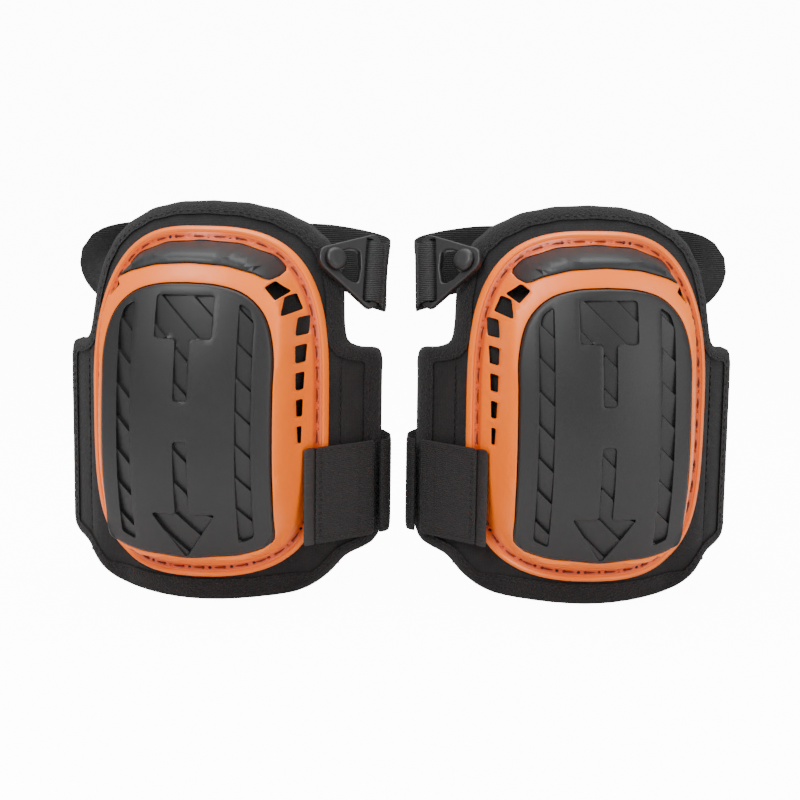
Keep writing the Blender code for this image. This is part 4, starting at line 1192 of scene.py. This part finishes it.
def build_stage():
    """A white floor and world, broad soft lights, and the camera."""
    scene = bpy.context.scene
    form = bmesh.new()
    bmesh.ops.create_grid(form, x_segments=1, y_segments=1, size=6.0)
    mesh = bpy.data.meshes.new("floor")
    form.to_mesh(mesh)
    form.free()
    floor = bpy.data.objects.new("floor", mesh)
    floor.location.z = -0.0005
    paper, _, shader, _ = start_look("floor_paper", 0.9, Specular_IOR_Level=0.1)
    shader.inputs["Base Color"].default_value = (0.9, 0.9, 0.9, 1.0)
    shader.inputs["Emission Color"].default_value = (1.0, 1.0, 1.0, 1.0)
    light_path = paper.node_tree.nodes.new("ShaderNodeLightPath")
    glow = paper.node_tree.nodes.new("ShaderNodeMath")
    glow.operation = "MULTIPLY"
    glow.inputs[1].default_value = BACKDROP_STRENGTH
    paper.node_tree.links.new(light_path.outputs["Is Camera Ray"], glow.inputs[0])
    paper.node_tree.links.new(glow.outputs["Value"], shader.inputs["Emission Strength"])
    floor.data.materials.append(paper)
    scene.collection.objects.link(floor)

    world = bpy.data.worlds.new("studio")
    world.use_nodes = True
    background = world.node_tree.nodes["Background"]
    background.inputs["Color"].default_value = (1.0, 1.0, 1.0, 1.0)
    light_path = world.node_tree.nodes.new("ShaderNodeLightPath")
    spread = world.node_tree.nodes.new("ShaderNodeMapRange")
    spread.inputs["To Min"].default_value = WORLD_STRENGTH
    spread.inputs["To Max"].default_value = WORLD_STRENGTH + BACKDROP_STRENGTH
    world.node_tree.links.new(light_path.outputs["Is Camera Ray"], spread.inputs["Value"])
    world.node_tree.links.new(spread.outputs["Result"], background.inputs["Strength"])
    scene.world = world
    for name, place, size, power in LIGHTS:
        lamp = bpy.data.lights.new(name, "AREA")
        lamp.shape = "RECTANGLE"
        lamp.size, lamp.size_y = size
        lamp.energy = power
        light = bpy.data.objects.new(name, lamp)
        light.location = place
        aim = Vector((0.0, 0.0, 0.1)) - Vector(place)
        light.rotation_euler = aim.to_track_quat("-Z", "Y").to_euler()
        scene.collection.objects.link(light)

    lens = bpy.data.cameras.new("camera")
    lens.sensor_width = 36.0
    lens.lens = 36.0 * CAMERA_DISTANCE / CAMERA_WIDTH
    lens.clip_start = 0.01
    camera = bpy.data.objects.new("camera", lens)
    rise = math.radians(CAMERA_ELEVATION)
    back = Vector((0.0, -math.cos(rise), math.sin(rise)))
    target = Vector(CAMERA_TARGET)
    turn = (-back).to_track_quat("-Z", "Y").to_matrix() @ Matrix.Rotation(math.radians(CAMERA_ROLL), 3, "Z")
    camera.matrix_world = Matrix.Translation(target + back * CAMERA_DISTANCE) @ turn.to_4x4()
    scene.collection.objects.link(camera)
    scene.camera = camera


WORLD_STRENGTH = 0.55
BACKDROP_STRENGTH = 12.0     # added where the camera sees the floor and the world, to make them white
LIGHTS = [
    ("key", (-0.55, -0.9, 1.0), (0.7, 0.6), 16.0),
    ("fill", (0.9, -0.8, 0.5), (0.6, 0.8), 6.0),
    ("top", (0.0, 0.15, 1.2), (1.2, 0.7), 14.0),
]


def main():
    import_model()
    build_stage()
    looks = make_looks()
    lining = lining_mesh()
    for side_name, side in (("left", 1.0), ("right", -1.0)):
        pad = Pad(side_name, side)
        build_liner(pad, looks)
        build_shell(pad, looks)
        build_cap(pad, looks)
        build_inside(pad, looks, lining)
        build_clip(pad, looks)
        build_thigh_strap(pad, looks)
        build_calf_strap(pad, looks)


main()
